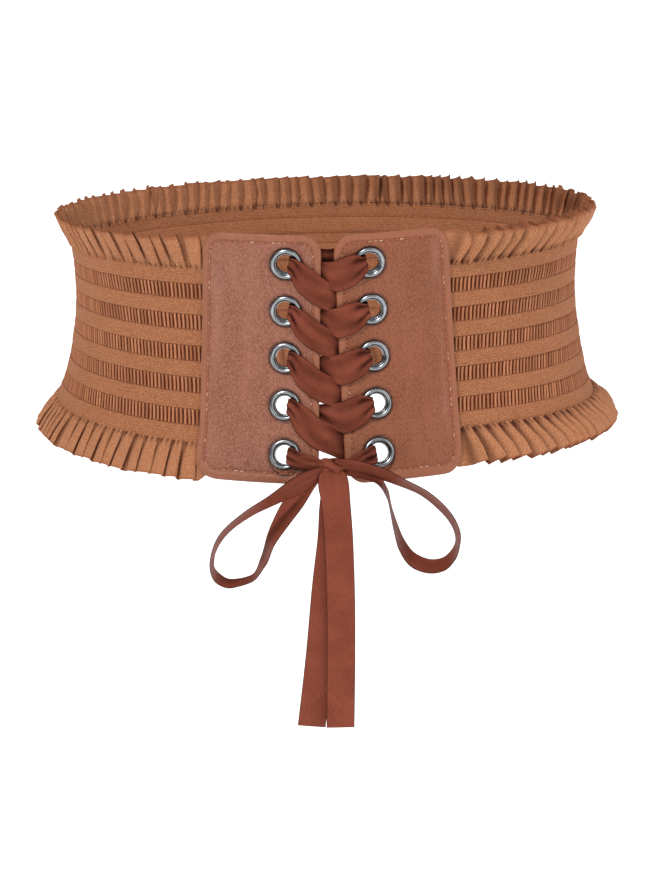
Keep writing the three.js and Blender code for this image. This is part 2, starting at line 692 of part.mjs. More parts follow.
// A free ribbon along a list of places; turned tells which way its width lies
function freeRibbon(name, places) {
  const middle = new THREE.CatmullRomCurve3(places.map((p) => p.place), false, "centripetal");
  const steps = RIBBON_STEPS * (places.length - 1);
  const front = [];
  const back = [];
  const toFront = new THREE.Vector3(0, -1, 0);
  for (let k = 0; k <= steps; k += 1) {
    const share = k / steps;
    const point = middle.getPoint(share);
    const run = middle.getTangent(share);
    const low = places[Math.floor(k / RIBBON_STEPS)];
    const high = places[Math.ceil(k / RIBBON_STEPS)];
    const part = (k % RIBBON_STEPS) / RIBBON_STEPS;
    const turn = THREE.MathUtils.lerp(low.turn, high.turn, part) * (Math.PI / 2);
    const half = THREE.MathUtils.lerp(low.wide, high.wide, part) / 2;
    const flat = new THREE.Vector3().crossVectors(run, toFront).normalize();
    const facing = new THREE.Vector3().crossVectors(flat, run).normalize();
    const width = flat.multiplyScalar(Math.cos(turn)).addScaledVector(facing, Math.sin(turn));
    const outward = new THREE.Vector3().crossVectors(width, run).normalize();
    const edge = (face) => {
      const spot = point.clone().addScaledVector(outward, face * HALF_RIBBON);
      return [spot.clone().addScaledVector(width, -half), spot.clone().addScaledVector(width, half)];
    };
    front.push(edge(1));
    back.push(edge(-1));
  }
  return namedMesh(name, closedShell(front, back), RIBBON);
}

function bowLoop(name, table) {
  const centre = knotCentre();
  const places = table.map((row) => ({
    place: new THREE.Vector3(row.across, -row.out, row.up).multiplyScalar(LOOP_REACH).add(centre),
    turn: row.turn,
    wide: row.wide * RIBBON_WIDTH,
  }));
  return freeRibbon(name, places);
}

function tail(name, table) {
  const centre = knotCentre();
  const places = table.map((row) => {
    const across = row.across * RIBBON_WIDTH;
    const out = row.out * RIBBON_WIDTH;
    const place = new THREE.Vector3(across, -out, -row.down * TAIL_LENGTH).add(centre);
    return { place, turn: 0, wide: row.wide * RIBBON_WIDTH };
  });
  return freeRibbon(name, places);
}

const belt = new THREE.Group();
belt.name = "corset_belt";
belt.add(panel("left_panel", -1));
belt.add(panel("right_panel", 1));
belt.add(elasticBand());
belt.add(ruffle("top_ruffle", 1, TOP_RUFFLE_HEIGHT, TOP_FLARE));
belt.add(ruffle("bottom_ruffle", -1, BOTTOM_RUFFLE_HEIGHT, BOTTOM_FLARE));
for (let k = 0; k < EYELETS_PER_PANEL; k += 1) {
  belt.add(eyelet(`eyelet_left_${k + 1}`, -1, k));
  belt.add(eyelet(`eyelet_right_${k + 1}`, 1, k));
}
belt.add(lace());
belt.add(knot());
belt.add(bowLoop("bow_loop_left", LEFT_LOOP));
belt.add(bowLoop("bow_loop_right", RIGHT_LOOP));
belt.add(tail("tail_left", LEFT_TAIL));
belt.add(tail("tail_right", RIGHT_TAIL));

export default belt;
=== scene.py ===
import math
import random
import bpy
import numpy as np
from mathutils import Matrix, Vector


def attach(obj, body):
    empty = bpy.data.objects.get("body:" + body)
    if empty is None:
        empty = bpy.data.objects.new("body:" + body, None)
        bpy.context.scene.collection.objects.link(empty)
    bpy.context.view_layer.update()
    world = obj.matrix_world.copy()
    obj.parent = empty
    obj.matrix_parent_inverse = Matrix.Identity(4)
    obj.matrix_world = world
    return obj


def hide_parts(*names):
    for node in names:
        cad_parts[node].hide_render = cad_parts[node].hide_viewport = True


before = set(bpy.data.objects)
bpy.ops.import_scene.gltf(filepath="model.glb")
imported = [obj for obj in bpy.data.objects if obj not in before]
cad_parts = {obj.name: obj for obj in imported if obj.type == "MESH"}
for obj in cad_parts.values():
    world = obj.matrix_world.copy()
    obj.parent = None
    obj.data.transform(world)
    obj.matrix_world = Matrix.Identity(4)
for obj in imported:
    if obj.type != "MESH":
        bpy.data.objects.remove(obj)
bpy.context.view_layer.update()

mm = 0.001
sideNames = {-1: "left", 1: "right"}

# The body of the belt: the same section and sizes as the frame, in millimetres
waist = {
    "halfWidth": 125.2,
    "depthPerWidth": 0.75,
    "levels": [-84.3, -56.2, -40.46, -30.35, -20.23, -8.99, 4.5, 17.98, 28.1, 39.34, 56.2, 78.68],
    "widths": [1.2, 1.135, 1.087, 1.056, 1.033, 1.017, 1.003, 1.0, 1.004, 1.012, 1.026, 1.045],
}
panel = {
    "height": 112.4,
    "width": 53.3,
    "corner": 9.0,
    "gapTop": 5.0,
    "gapBottom": 12.4,
    "front": 2.3,
    "thickness": 1.7,
    "extraBelow": 2.2,
    "turn": 0.033,
    # how much farther out the outer edge lies than the frame's, at the top and at the bottom
    "wider": {1: (0.0, 2.6), -1: (1.3, 3.8)},
    "squarer": {1: 0.0, -1: 2.4},
    "eyeletInset": 15.8,
    "eyelets": 5,
    "eyeletTop": 42.6,
    "eyeletPitch": 22.1,
    "holeRadius": 4.9,
    "seamInset": 3.7,
}


def linear(hexColour):
    channels = [int(hexColour[k:k + 2], 16) / 255 for k in (1, 3, 5)]
    bent = [c / 12.92 if c <= 0.04045 else ((c + 0.055) / 1.055) ** 2.4 for c in channels]
    return (*bent, 1.0)


def hill(at):
    # 1 at 0, falling to nearly nothing 2 away from it
    return np.exp(-at ** 2)


def unit(vectors):
    return vectors / np.maximum(np.linalg.norm(vectors, axis=-1, keepdims=True), 1e-9)


def smoothTable(places, values, at):
    # reads a table column smoothly, with level tangents shared by neighbours
    places = np.asarray(places, float)
    values = np.asarray(values, float)
    last = len(places) - 1
    i = np.clip(np.searchsorted(places, at, side="left") - 1, 0, last - 1)
    low = np.maximum(np.arange(last + 1) - 1, 0)
    high = np.minimum(np.arange(last + 1) + 1, last)
    slope = (values[high] - values[low]) / (places[high] - places[low])
    span = places[i + 1] - places[i]
    t = np.clip((at - places[i]) / span, 0, 1)
    rise = values[i + 1] - values[i]
    bend = t * (1 - t) * ((1 - t) * (slope[i] * span - rise) - t * (slope[i + 1] * span - rise))
    return values[i] + rise * t + bend


# Running length round the section for a half width of one, from the front centre all the way round
turnSteps = 2880
turnAngles = np.linspace(0, 2 * math.pi, turnSteps + 1)
turnMiddles = (turnAngles[1:] + turnAngles[:-1]) / 2
turnPieces = np.hypot(np.cos(turnMiddles), waist["depthPerWidth"] * np.sin(turnMiddles))
turnLengths = np.concatenate([[0], np.cumsum(turnPieces) * 2 * math.pi / turnSteps])
halfRound = turnLengths[turnSteps // 2]


def halfWidthAt(z):
    return waist["halfWidth"] * smoothTable(waist["levels"], waist["widths"], z)


def onWaist(along, z, out):
    # a place on the waist in metres: along the section from the front centre, height, distance outward
    along, z, out = np.broadcast_arrays(np.asarray(along, float), np.asarray(z, float), np.asarray(out, float))
    width = halfWidthAt(z)
    depth = width * waist["depthPerWidth"]
    growth = halfWidthAt(z + 0.5) - halfWidthAt(z - 0.5)
    angle = np.sign(along) * np.interp(np.abs(along) / width, turnLengths, turnAngles)
    sin = np.sin(angle)
    cos = np.cos(angle)
    normal = unit(np.stack([sin / width, -cos / depth, -growth / width], -1))
    return (np.stack([width * sin, -depth * cos, z], -1) + normal * out[..., None]) * mm


def outwardAt(along, z):
    return unit(onWaist(along, z, 1.0) - onWaist(along, z, 0.0))


def halfGapAt(z):
    share = 0.5 - z / panel["height"]
    return (panel["gapTop"] + (panel["gapBottom"] - panel["gapTop"]) * share) / 2


def panelAlong(along, z, side):
    # a place across a panel with the outer part drawn out to its full width
    top, bottom = panel["wider"][side]
    more = top + (bottom - top) * (0.5 - z / panel["height"])
    fromInner = along - halfGapAt(z)
    # the left panel's lower outer corner is nearly square
    squarer = panel["squarer"][side] * smoothStep(-35, -56, z) * smoothStep(45, 52, fromInner)
    return along + more * smoothStep(24, 50, fromInner) + squarer


def panelOuterEdge(z, side):
    return panelAlong(halfGapAt(z) + panel["width"], z, side)


def backSpan(z):
    # where the part behind the panels starts, measured round the section, and how long it is
    start = panelOuterEdge(z, 1)
    return start, 2 * halfRound * halfWidthAt(z) - start - panelOuterEdge(z, -1)


def eyeletHeight(row):
    return panel["eyeletTop"] - row * panel["eyeletPitch"]


def smoothStep(low, high, at):
    # from 0 at low to 1 at high, level at both ends; low may be the greater
    t = np.clip((at - low) / (high - low), 0, 1)
    return t * t * (3 - 2 * t)


def smoothPath(points, steps):
    # a smooth curve through the points, steps places to each stretch
    points = np.asarray(points, float)
    padded = np.vstack([2 * points[0] - points[1], points, 2 * points[-1] - points[-2]])
    spots = []
    for k in range(len(points) - 1):
        a, b, c, d = padded[k:k + 4]
        for step in range(steps):
            t = step / steps
            bend = (2 * a - 5 * b + 4 * c - d) * t * t + (3 * b - a - 3 * c + d) * t ** 3
            spots.append(0.5 * (2 * b + (c - a) * t + bend))
    spots.append(points[-1])
    return np.array(spots)


# Making and finishing pieces

def deselectAll():
    if bpy.context.object and bpy.context.object.mode != "OBJECT":
        bpy.ops.object.mode_set(mode="OBJECT")
    bpy.ops.object.select_all(action="DESELECT")


def choose(piece):
    deselectAll()
    piece.select_set(True)
    bpy.context.view_layer.objects.active = piece


def applyModifiers(piece):
    choose(piece)
    for modifier in list(piece.modifiers):
        bpy.ops.object.modifier_apply(modifier=modifier.name)


def movePoints(piece, place):
    # place gives the new places of all points for the old ones
    old = np.empty(len(piece.data.vertices) * 3)
    piece.data.vertices.foreach_get("co", old)
    new = place(old.reshape(-1, 3))
    piece.data.vertices.foreach_set("co", np.ascontiguousarray(new, dtype=np.float64).ravel())
    piece.data.update()


def shapedGrid(name, columns, rows, place):
    # a flat grid whose points are moved to the places that place(u, v) gives, u and v from 0 to 1
    deselectAll()
    bpy.ops.mesh.primitive_grid_add(x_subdivisions=columns, y_subdivisions=rows, size=1, location=(0, 0, 0))
    piece = bpy.context.object
    piece.name = name
    piece.data.name = name
    movePoints(piece, lambda flat: place(flat[:, 0] + 0.5, flat[:, 1] + 0.5))
    return piece


def faceOutward(piece):
    choose(piece)
    bpy.ops.object.mode_set(mode="EDIT")
    bpy.ops.mesh.select_all(action="SELECT")
    bpy.ops.mesh.remove_doubles(threshold=0.000002)
    bpy.ops.mesh.normals_make_consistent(inside=False)
    bpy.ops.object.mode_set(mode="OBJECT")


def thicken(piece, thickness, offset=-1.0):
    wall = piece.modifiers.new("wall", "SOLIDIFY")
    wall.thickness = thickness * mm
    wall.offset = offset
    wall.use_even_offset = False
    applyModifiers(piece)


def pointAttribute(piece, name, values):
    layer = piece.data.attributes.new(name, "FLOAT", "POINT")
    layer.data.foreach_set("value", np.ascontiguousarray(values, dtype=np.float32))


def rowOfCords(name, along, z, out, outRadius, sideRadius, light=1.0):
    # many short closed cords: the tables have a row for each cord and a column for each station;
    # light is the greatest shade of a cord, or of each
    around = 6
    centre = onWaist(along, z, out)
    outward = outwardAt(along, z)
    side = unit(np.cross(outward, np.gradient(centre, axis=1)))
    turns = np.linspace(0, 2 * math.pi, around, endpoint=False)
    ring = (centre[:, :, None, :]
            + outward[:, :, None, :] * (np.sin(turns) * outRadius[..., None])[..., None] * mm
            + side[:, :, None, :] * (np.cos(turns) * sideRadius[..., None])[..., None] * mm)
    count, stations = along.shape
    faces = []
    for c in range(count):
        base = c * stations * around
        for s in range(stations - 1):
            for a in range(around):
                b = (a + 1) % around
                low = base + s * around
                faces.append((low + a, low + b, low + around + b, low + around + a))
        faces.append(tuple(base + a for a in reversed(range(around))))
        faces.append(tuple(base + (stations - 1) * around + a for a in range(around)))
    mesh = bpy.data.meshes.new(name)
    mesh.from_pydata(ring.reshape(-1, 3).tolist(), [], faces)
    piece = bpy.data.objects.new(name, mesh)
    bpy.context.scene.collection.objects.link(piece)
    pointAttribute(piece, "stationShare", np.tile(np.repeat(np.linspace(0, 1, stations), around), count))
    each = np.random.default_rng(5).random(count) * light
    pointAttribute(piece, "cordShade", np.repeat(each, stations * around))
    faceOutward(piece)
    return piece


def smoothFaces(piece, degrees=50):
    choose(piece)
    bpy.ops.object.shade_smooth_by_angle(angle=math.radians(degrees))


def finishPiece(piece, material, slot, *nodes):
    piece.data.materials.clear()
    piece.data.materials.append(material)
    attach(piece, "root")
    if nodes:
        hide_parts(*nodes)
    return piece


# Materials

def addNode(tree, kind, inputs=None, output=0, **settings):
    # inputs are values or outputs of other nodes; what comes back is the output asked for
    node = tree.nodes.new("ShaderNode" + kind)
    for key, value in settings.items():
        setattr(node, key, value)
    for key, value in (inputs or {}).items():
        if isinstance(value, bpy.types.NodeSocket):
            tree.links.new(value, node.inputs[key])
        else:
            node.inputs[key].default_value = value
    return node.outputs[output]


def newMaterial(name, **surface):
    # the last thing that comes back is the object's own coordinates
    material = bpy.data.materials.new(name)
    material.use_nodes = True
    tree = material.node_tree
    shader = tree.nodes["Principled BSDF"]
    for key, value in surface.items():
        shader.inputs[key.replace("_", " ")].default_value = value
    return material, tree, shader, addNode(tree, "TexCoord", None, "Object")


def paint(tree, shader, base, *layers):
    # lays colours over the base; a layer is its pattern, the pattern's values where it is least
    # and most, its share there, and its colour
    colour = linear(base)
    for pattern, low, high, least, most, over in layers:
        share = addNode(tree, "MapRange", {0: pattern, 1: low, 2: high, 3: least, 4: most})
        colour = addNode(tree, "Mix", {0: share, 6: colour, 7: linear(over)}, 2, data_type="RGBA")
    tree.links.new(colour, shader.inputs["Base Color"])


def polish(tree, shader, pattern, least, most):
    gloss = addNode(tree, "MapRange", {0: pattern, 1: 0.3, 2: 0.7, 3: least, 4: most})
    tree.links.new(gloss, shader.inputs["Roughness"])


def roughen(tree, shader, strength, distance, *parts):
    # joins patterns into one relief, each with its own share
    height = 0.0
    for pattern, share in parts:
        height = addNode(tree, "Math", {0: pattern, 1: share, 2: height}, operation="MULTIPLY_ADD")
    relief = addNode(tree, "Bump", {"Strength": strength, "Distance": distance, "Height": height}, "Normal")
    tree.links.new(relief, shader.inputs["Normal"])


def flatPlaces(tree, length, width, drawnAlong, drawnAcross):
    # places on the flat cloth in millimetres, and the same drawn out into threads
    ownMap = addNode(tree, "TexCoord", None, "UV")
    spots = addNode(tree, "Mapping", {"Vector": ownMap, "Scale": (length, width, 1)})
    return spots, addNode(tree, "Mapping", {"Vector": spots, "Scale": (drawnAlong, drawnAcross, 1)})


def leatherMaterial(name, looks):
    # Chrome-tanned calf leather, plated and finished: fine pebbles about 0.5 mm wide, soft cloudy dye,
    # worn light at the turned edge
    material, tree, shader, coords = newMaterial(
        name, Sheen_Weight=looks["sheen"], Sheen_Roughness=0.5, Sheen_Tint=linear("#d9a498"),
        Specular_IOR_Level=0.4)
    slant = (0, math.radians(looks["grainTurn"]), 0)
    slanted = addNode(tree, "Mapping", {"Vector": coords, "Rotation": slant, "Scale": (1, 1, 2.4)},
                      vector_type="TEXTURE")
    pebbles = addNode(tree, "TexVoronoi", {"Vector": slanted, "Scale": 2100, "Randomness": 1},
                      "Distance", feature="SMOOTH_F1")
    upright = addNode(tree, "Mapping", {"Vector": coords, "Scale": (150, 150, 16)})
    streaks = addNode(tree, "TexNoise",
                      {"Vector": upright, "Scale": 1, "Detail": 4, "Roughness": 0.55}, "Fac")
    pores, clouds = (addNode(tree, "TexNoise", {"Vector": coords, "Scale": scale, "Detail": 3}, "Fac")
                     for scale in (2600, 42))
    rim, shade, burnish = (addNode(tree, "Attribute", None, "Fac", attribute_name=attribute)
                           for attribute in ("rim", "shade", "burnish"))
    worn = addNode(tree, "MapRange", {0: streaks, 1: 0.3, 2: 0.6, 4: looks["burnishShare"]})
    patchy = addNode(tree, "Math", {0: burnish, 1: worn}, operation="MULTIPLY")
    paint(
        tree, shader, looks["base"],
        (streaks, 0.38, 0.62, 0, 1, looks["streak"]),
        (clouds, 0.42, 0.7, 0, looks["cloudShare"], looks["cloud"]),
        (pebbles, 0.1, 0.55, 0.85, 0, looks["grainLight"]),
        (pores, 0.3, 0.7, 0, 0.22, looks["pore"]),
        (patchy, 0, 1, 0, 1, looks["burnish"]),
        (rim, 0, 1, 0, 0.6, looks["edge"]),
        # painted shade round the eyelets and in the seam groove
        (shade, 0, 1, 0, 1, "#2e140c"))
    polish(tree, shader, pores, looks["gloss"], looks["gloss"] + 0.16)
    roughen(tree, shader, looks["relief"], 0.0003, (pebbles, 1.0), (pores, 0.35), (clouds, 0.5))
    return material


def alongCord(tree):
    # how far from a cord's middle a place is, and each cord's own random share, which for the ribs also carries a
    # painted light near the panels
    share, each = (addNode(tree, "Attribute", None, "Fac", attribute_name=attribute)
                   for attribute in ("stationShare", "cordShade"))
    offset = addNode(tree, "Math", {0: share, 1: 0.5}, operation="SUBTRACT")
    return addNode(tree, "Math", {0: offset}, operation="ABSOLUTE"), each


def threadMaterial():
    # Bonded polyester thread, twisted: a soft shine, with painted shade where it dives into the leather
    material, tree, shader, coords = newMaterial("polyester_thread", Roughness=0.45, Sheen_Weight=0.2)
    away, each = alongCord(tree)
    paint(tree, shader, "#a2552e", (each, 0.7, 1.0, 0, 0.9, "#c99478"), (away, 0.3, 0.42, 0, 1, "#331208"))
    twist = addNode(tree, "TexWave", {"Vector": coords, "Scale": 900, "Distortion": 1}, "Fac",
                    bands_direction="DIAGONAL")
    roughen(tree, shader, 0.4, 0.0001, (twist, 1.0))
    return material


def elasticMaterial(name, length, width, looks):
    # Woven elastic with a cotton face: weft lines about 1 mm apart (coarser than real, so they show),
    # matt, with a faint dry sheen
    material, tree, shader, coords = newMaterial(
        name, Roughness=0.86, Sheen_Weight=0.1, Sheen_Roughness=0.6, Sheen_Tint=linear("#d9a685"),
        Specular_IOR_Level=0.25)
    spots, drawn = flatPlaces(tree, length, width, 0.06, 2.4)
    weft, warp = (
        addNode(tree, "TexWave",
                {"Vector": spots, "Scale": scale, "Distortion": distortion, "Detail": detail}, "Fac",
                bands_direction=way)
        for scale, way, distortion, detail in ((*looks["weft"], 0.9, 2), (*looks["warp"], 0.8, 1)))
    fuzz, clouds, slub = (
        addNode(tree, "TexNoise", {"Vector": places, "Scale": scale, "Detail": 2}, "Fac")
        for places, scale in ((coords, looks["fuzz"]), (coords, 30), (drawn, 1)))
    shade, hem = (addNode(tree, "Attribute", None, "Fac", attribute_name=attribute)
                  for attribute in ("shade", "hem"))
    paint(
        tree, shader, looks["base"],
        (clouds, 0.35, 0.65, 0, 1, looks["second"]),
        (weft, 0, 1, 0.5, 0, looks["dark"]),
        (slub, 0.4, 0.7, 0, 0.5, looks["dark"]),
        (fuzz, 0.35, 0.68, 0, 0.65, looks["light"]),
        # painted shade from the shade attribute: the band's sunk rows, the ruffles' folds and dents
        (shade, 0, 1, 0, 1, looks["deep"]),
        (hem, 0, 1, 0, looks["hemShare"], looks["hem"]))
    roughen(tree, shader, 0.8, 0.0002, (weft, 0.6), (warp, 0.5), (fuzz, 0.8), (slub, 0.5))
    return material


def ribMaterial():
    # Elastic cord wrapped in yarn: each rib round and matt, light on top, with painted shade at its ends where it
    # meets the strips
    material, tree, shader, coords = newMaterial("wrapped_elastic_cord", Roughness=0.84, Sheen_Weight=0.05)
    away, each = alongCord(tree)
    paint(tree, shader, "#975935", (each, 0, 1, 0, 1, "#b97850"), (away, 0.4, 0.5, 0, 0.55, "#70371d"))
    wraps = addNode(tree, "TexWave", {"Vector": coords, "Scale": 420, "Distortion": 0.5}, "Fac",
                    bands_direction="Z")
    fuzz = addNode(tree, "TexNoise", {"Vector": coords, "Scale": 3000}, "Fac")
    roughen(tree, shader, 0.4, 0.00012, (wraps, 0.7), (fuzz, 0.6))
    return material


def nickelMaterial():
    # Brass eyelets plated with nickel and rolled: bright crests, grey flanks, tarnish in the groove
    # and painted shade at the rim, where it meets the leather
    material, tree, shader, coords = newMaterial("plated_nickel", Metallic=1.0)
    tarnish = addNode(tree, "Attribute", None, "Fac", attribute_name="tarnish")
    clouds, scratches = (
        addNode(tree, "TexNoise", {"Vector": coords, "Scale": scale, "Detail": detail}, "Fac")
        for scale, detail in ((260, 4), (3200, 2)))
    paint(tree, shader, "#a7abae", (clouds, 0.35, 0.7, 0, 1, "#8d9296"), (tarnish, 0, 1, 0, 1, "#1b1715"))
    polish(tree, shader, scratches, 0.22, 0.32)
    roughen(tree, shader, 0.01, 0.00001, (scratches, 1.0))
    return material


def satinMaterial(name, length, width):
    # Woven polyester satin, dyed brown: long smooth floats with a soft low shine, a dark serrated selvedge
    # at each edge
    looks = ribbon["looks"]
    material, tree, shader, coords = newMaterial(name, Roughness=0.42, Anisotropic=0.4, Specular_IOR_Level=0.03)
    spots, drawn = flatPlaces(tree, length, width, 0.5, 5.5)
    across = addNode(tree, "SeparateXYZ", {0: spots}, 1)
    fromMiddle = addNode(tree, "Math", {0: across, 1: width / 2}, operation="SUBTRACT")
    away = addNode(tree, "Math", {0: fromMiddle}, operation="ABSOLUTE")
    teeth = addNode(tree, "TexWave", {"Vector": spots, "Scale": 0.4}, "Fac", bands_direction="X")
    selvedge = addNode(tree, "Math", {0: teeth, 1: 0.28, 2: away}, operation="MULTIPLY_ADD")
    floats, clouds, grains = (
        addNode(tree, "TexNoise", {"Vector": places, "Scale": scale, "Detail": detail}, "Fac")
        for places, scale, detail in ((drawn, 1, 3), (coords, 70, 2), (coords, 3600, 1)))
    shade = addNode(tree, "Attribute", None, "Fac", attribute_name="shade")
    paint(
        tree, shader, looks["base"],
        (clouds, 0.38, 0.66, 0, 1, looks["second"]),
        (floats, 0.35, 0.7, 0, 0.32, looks["light"]),
        (grains, 0.4, 0.75, 0, 0.2, looks["light"]),
        # painted shade from the shade attribute, in the folds and where the ribbon dives behind the leather
        (shade, 0, 1, 0, 1, looks["fold"]),
        (selvedge, width / 2 - 0.18, width / 2 - 0.02, 0, 1, "#3a1712"))
    roughen(tree, shader, 0.25, 0.00008, (floats, 0.6), (grains, 0.4))
    return material


# Camera, lights and floor

view = {
    "distance": 1.0,
    "elevation": 12.0,
    "azimuth": -0.6,
    "lens": 81.52,
    "roll": 1.2,
    "aimRight": -0.12,
    "aimDown": 3.615,
}


def setCamera():
    deselectAll()
    up = math.radians(view["elevation"])
    spot = Vector((0, -math.cos(up), math.sin(up))) * view["distance"]
    bpy.ops.object.camera_add(location=spot)
    camera = bpy.context.object
    camera.data.lens = view["lens"]
    camera.data.sensor_width = 36
    camera.data.clip_start = 0.01
    camera.data.clip_end = 200
    pitch = Matrix.Rotation(math.radians(90 - view["elevation"] - view["aimDown"]), 4, "X")
    yaw = Matrix.Rotation(-math.radians(view["aimRight"]), 4, "Z")
    roll = Matrix.Rotation(-math.radians(view["roll"]), 4, "Z")
    around = Matrix.Rotation(math.radians(view["azimuth"]), 4, "Z")
    camera.matrix_world = around @ Matrix.Translation(spot) @ yaw @ pitch @ roll
    bpy.context.scene.camera = camera


studio = {
    "floorHeight": -0.75,
    "floorSize": 60,
    "floorGlow": 0.38,
    "skyLow": 0.08,
    "skyHigh": 0.55,
    "key": 1.9,
    "fill": 1.1,
}


def addSun(name, strength, angle, azimuth, elevation):
    deselectAll()
    bpy.ops.object.light_add(type="SUN", location=(0, 0, 2))
    sun = bpy.context.object
    sun.name = name
    sun.data.energy = strength
    sun.data.angle = math.radians(angle)
    turn, up = math.radians(azimuth), math.radians(elevation)
    toLight = Vector((math.sin(turn) * math.cos(up), -math.cos(turn) * math.cos(up), math.sin(up)))
    sun.rotation_euler = toLight.to_track_quat("Z", "Y").to_euler()


def setStudio():
    deselectAll()
    bpy.ops.mesh.primitive_plane_add(size=studio["floorSize"], location=(0, 0, studio["floorHeight"]))
    floor = bpy.context.object
    floor.name = "paper_floor"
    material, tree, shader, coords = newMaterial(
        "white_paper", Roughness=0.9, Emission_Color=(1, 1, 1, 1), Emission_Strength=studio["floorGlow"])
    fibres = addNode(tree, "TexNoise", {"Vector": coords, "Scale": 6}, "Fac")
    paint(tree, shader, "#fbfbfb", (fibres, 0, 1, 0, 1, "#fdfdfd"))
    floor.data.materials.append(material)
    addSun("key_light", studio["key"], 14, -34, 48)
    addSun("fill_light", studio["fill"], 60, 64, 24)
    world = bpy.context.scene.world or bpy.data.worlds.new("studio")
    bpy.context.scene.world = world
    world.use_nodes = True
    sky = world.node_tree
    backdrop = sky.nodes["Background"]
    backdrop.inputs["Color"].default_value = (1, 1, 1, 1)
    # a soft box overhead and a dim horizon
    direction = addNode(sky, "TexCoord", None, "Generated")
    upward = addNode(sky, "SeparateXYZ", {0: direction}, 2)
    glow = addNode(sky, "MapRange",
                   {0: upward, 1: 0.05, 2: 0.75, 3: studio["skyLow"], 4: studio["skyHigh"]})
    sky.links.new(glow, backdrop.inputs["Strength"])
    bpy.context.scene.view_settings.view_transform = "Standard"
    bpy.context.scene.view_settings.look = "None"


setCamera()
setStudio()
print("camera and studio set")


# Leather front panels

leather = {
    "columns": 96,
    "rows": 190,
    "edgeRoll": 1.0,
    "rimRise": 0.22,
    "seamSink": 0.42,
    "seamWidth": 0.55,
    "puff": 0.5,
    # the long soft crease of each panel: depth, place across, sway, length of the sway, width
    "crease": {-1: (0.45, 47.5, 1.2, 23, 1.5), 1: (0.3, 38, -1.5, 29, 2.2)},
    "punchDepth": 12.0,
    # the two panels are the same leather: the left is painted pinker and lighter and the right warmer and darker,
    # standing in for the light falling from the left
    "left": {
        "base": "#814935", "streak": "#905944", "cloud": "#773f29", "cloudShare": 0.8,
        "grainLight": "#ad765f", "pore": "#6d3a2a", "edge": "#955a3d", "relief": 0.55,
        "burnish": "#a87868", "burnishShare": 0.3, "sheen": 0.08,
        "grainTurn": -34, "gloss": 0.42,
    },
    "right": {
        "base": "#7c432a", "streak": "#884c34", "cloud": "#72381e", "cloudShare": 0.75,
        "grainLight": "#9e603d", "pore": "#743a22", "edge": "#9a5e42", "relief": 0.5,
        "burnish": "#a8796a", "burnishShare": 0.75, "sheen": 0.05,
        "grainTurn": 24, "gloss": 0.44,
    },
}


def closerAtEdges(share, edge=0.09, edgeShare=0.26):
    # spaces the grid lines closer near both ends
    low = share / edgeShare * edge
    high = 1 - (1 - share) / edgeShare * edge
    middle = edge + (share - edgeShare) / (1 - 2 * edgeShare) * (1 - 2 * edge)
    return np.where(share < edgeShare, low, np.where(share > 1 - edgeShare, high, middle))


def cornerInset(z):
    beyond = np.maximum(np.abs(z) - (panel["height"] / 2 - panel["corner"]), 0)
    return panel["corner"] - np.sqrt(np.maximum(panel["corner"] ** 2 - beyond ** 2, 0))


def depthInPanel(along, z):
    # distance from the panel's outline to a place on it
    middle = halfGapAt(z) + panel["width"] / 2
    acrossPast = np.abs(along - middle) - (panel["width"] / 2 - panel["corner"])
    upPast = np.abs(z) - (panel["height"] / 2 - panel["corner"])
    outside = np.hypot(np.maximum(acrossPast, 0), np.maximum(upPast, 0))
    inside = np.minimum(np.maximum(acrossPast, upPast), 0)
    return panel["corner"] - outside - inside


def eyeletDistance(along, z):
    nearest = np.full(np.shape(along), 1e3)
    for row in range(panel["eyelets"]):
        height = eyeletHeight(row)
        nearest = np.minimum(nearest, np.hypot(along - halfGapAt(height) - panel["eyeletInset"], z - height))
    return nearest


def panelHeight(along, z):
    # the panel is a true rectangle turned a little, and reaches lower below its last eyelet
    middle = halfGapAt(z) + panel["width"] / 2
    lastEyelet = eyeletHeight(panel["eyelets"] - 1)
    stretched = panel["extraBelow"] * np.clip((lastEyelet - z) / (lastEyelet + panel["height"] / 2), 0, 1)
    return z - stretched + panel["turn"] * (along - middle) * smoothStep(20, 50, np.abs(z))


def leatherFace(along, z, side):
    # how far the leather stands out at a place: rolled edge, raised rim, sunk seam, soft field
    depth = depthInPanel(along, z)
    roll = np.clip(depth / leather["edgeRoll"], 0, 1)
    face = panel["front"] - 0.95 * (1 - np.sqrt(1 - (1 - roll) ** 2))
    face += leather["rimRise"] * hill((depth - 2.0) / 1.1)
    face -= leather["seamSink"] * hill((depth - panel["seamInset"]) / leather["seamWidth"])
    field = smoothStep(panel["seamInset"], panel["seamInset"] + 8, depth)
    waves = 0.5 + 0.28 * np.sin(along / 5.2 + z / 31 + side) + 0.22 * np.sin(z / 9.5 - along / 17)
    face += leather["puff"] * field * waves
    pucker = hill((depth - panel["seamInset"]) / 1.6)
    face += 0.09 * pucker * np.sin((along + z) * 2 * math.pi / 4.8 + 2 * np.sin(z / 7))
    sunk, place, sway, wave, width = leather["crease"][side]
    face -= sunk * hill((along - place - sway * np.sin(z / wave)) / width) * smoothStep(4, 12, depth)
    away = eyeletDistance(along, z)
    face -= 0.35 * hill((away - 6.9) / 1.3)
    return face


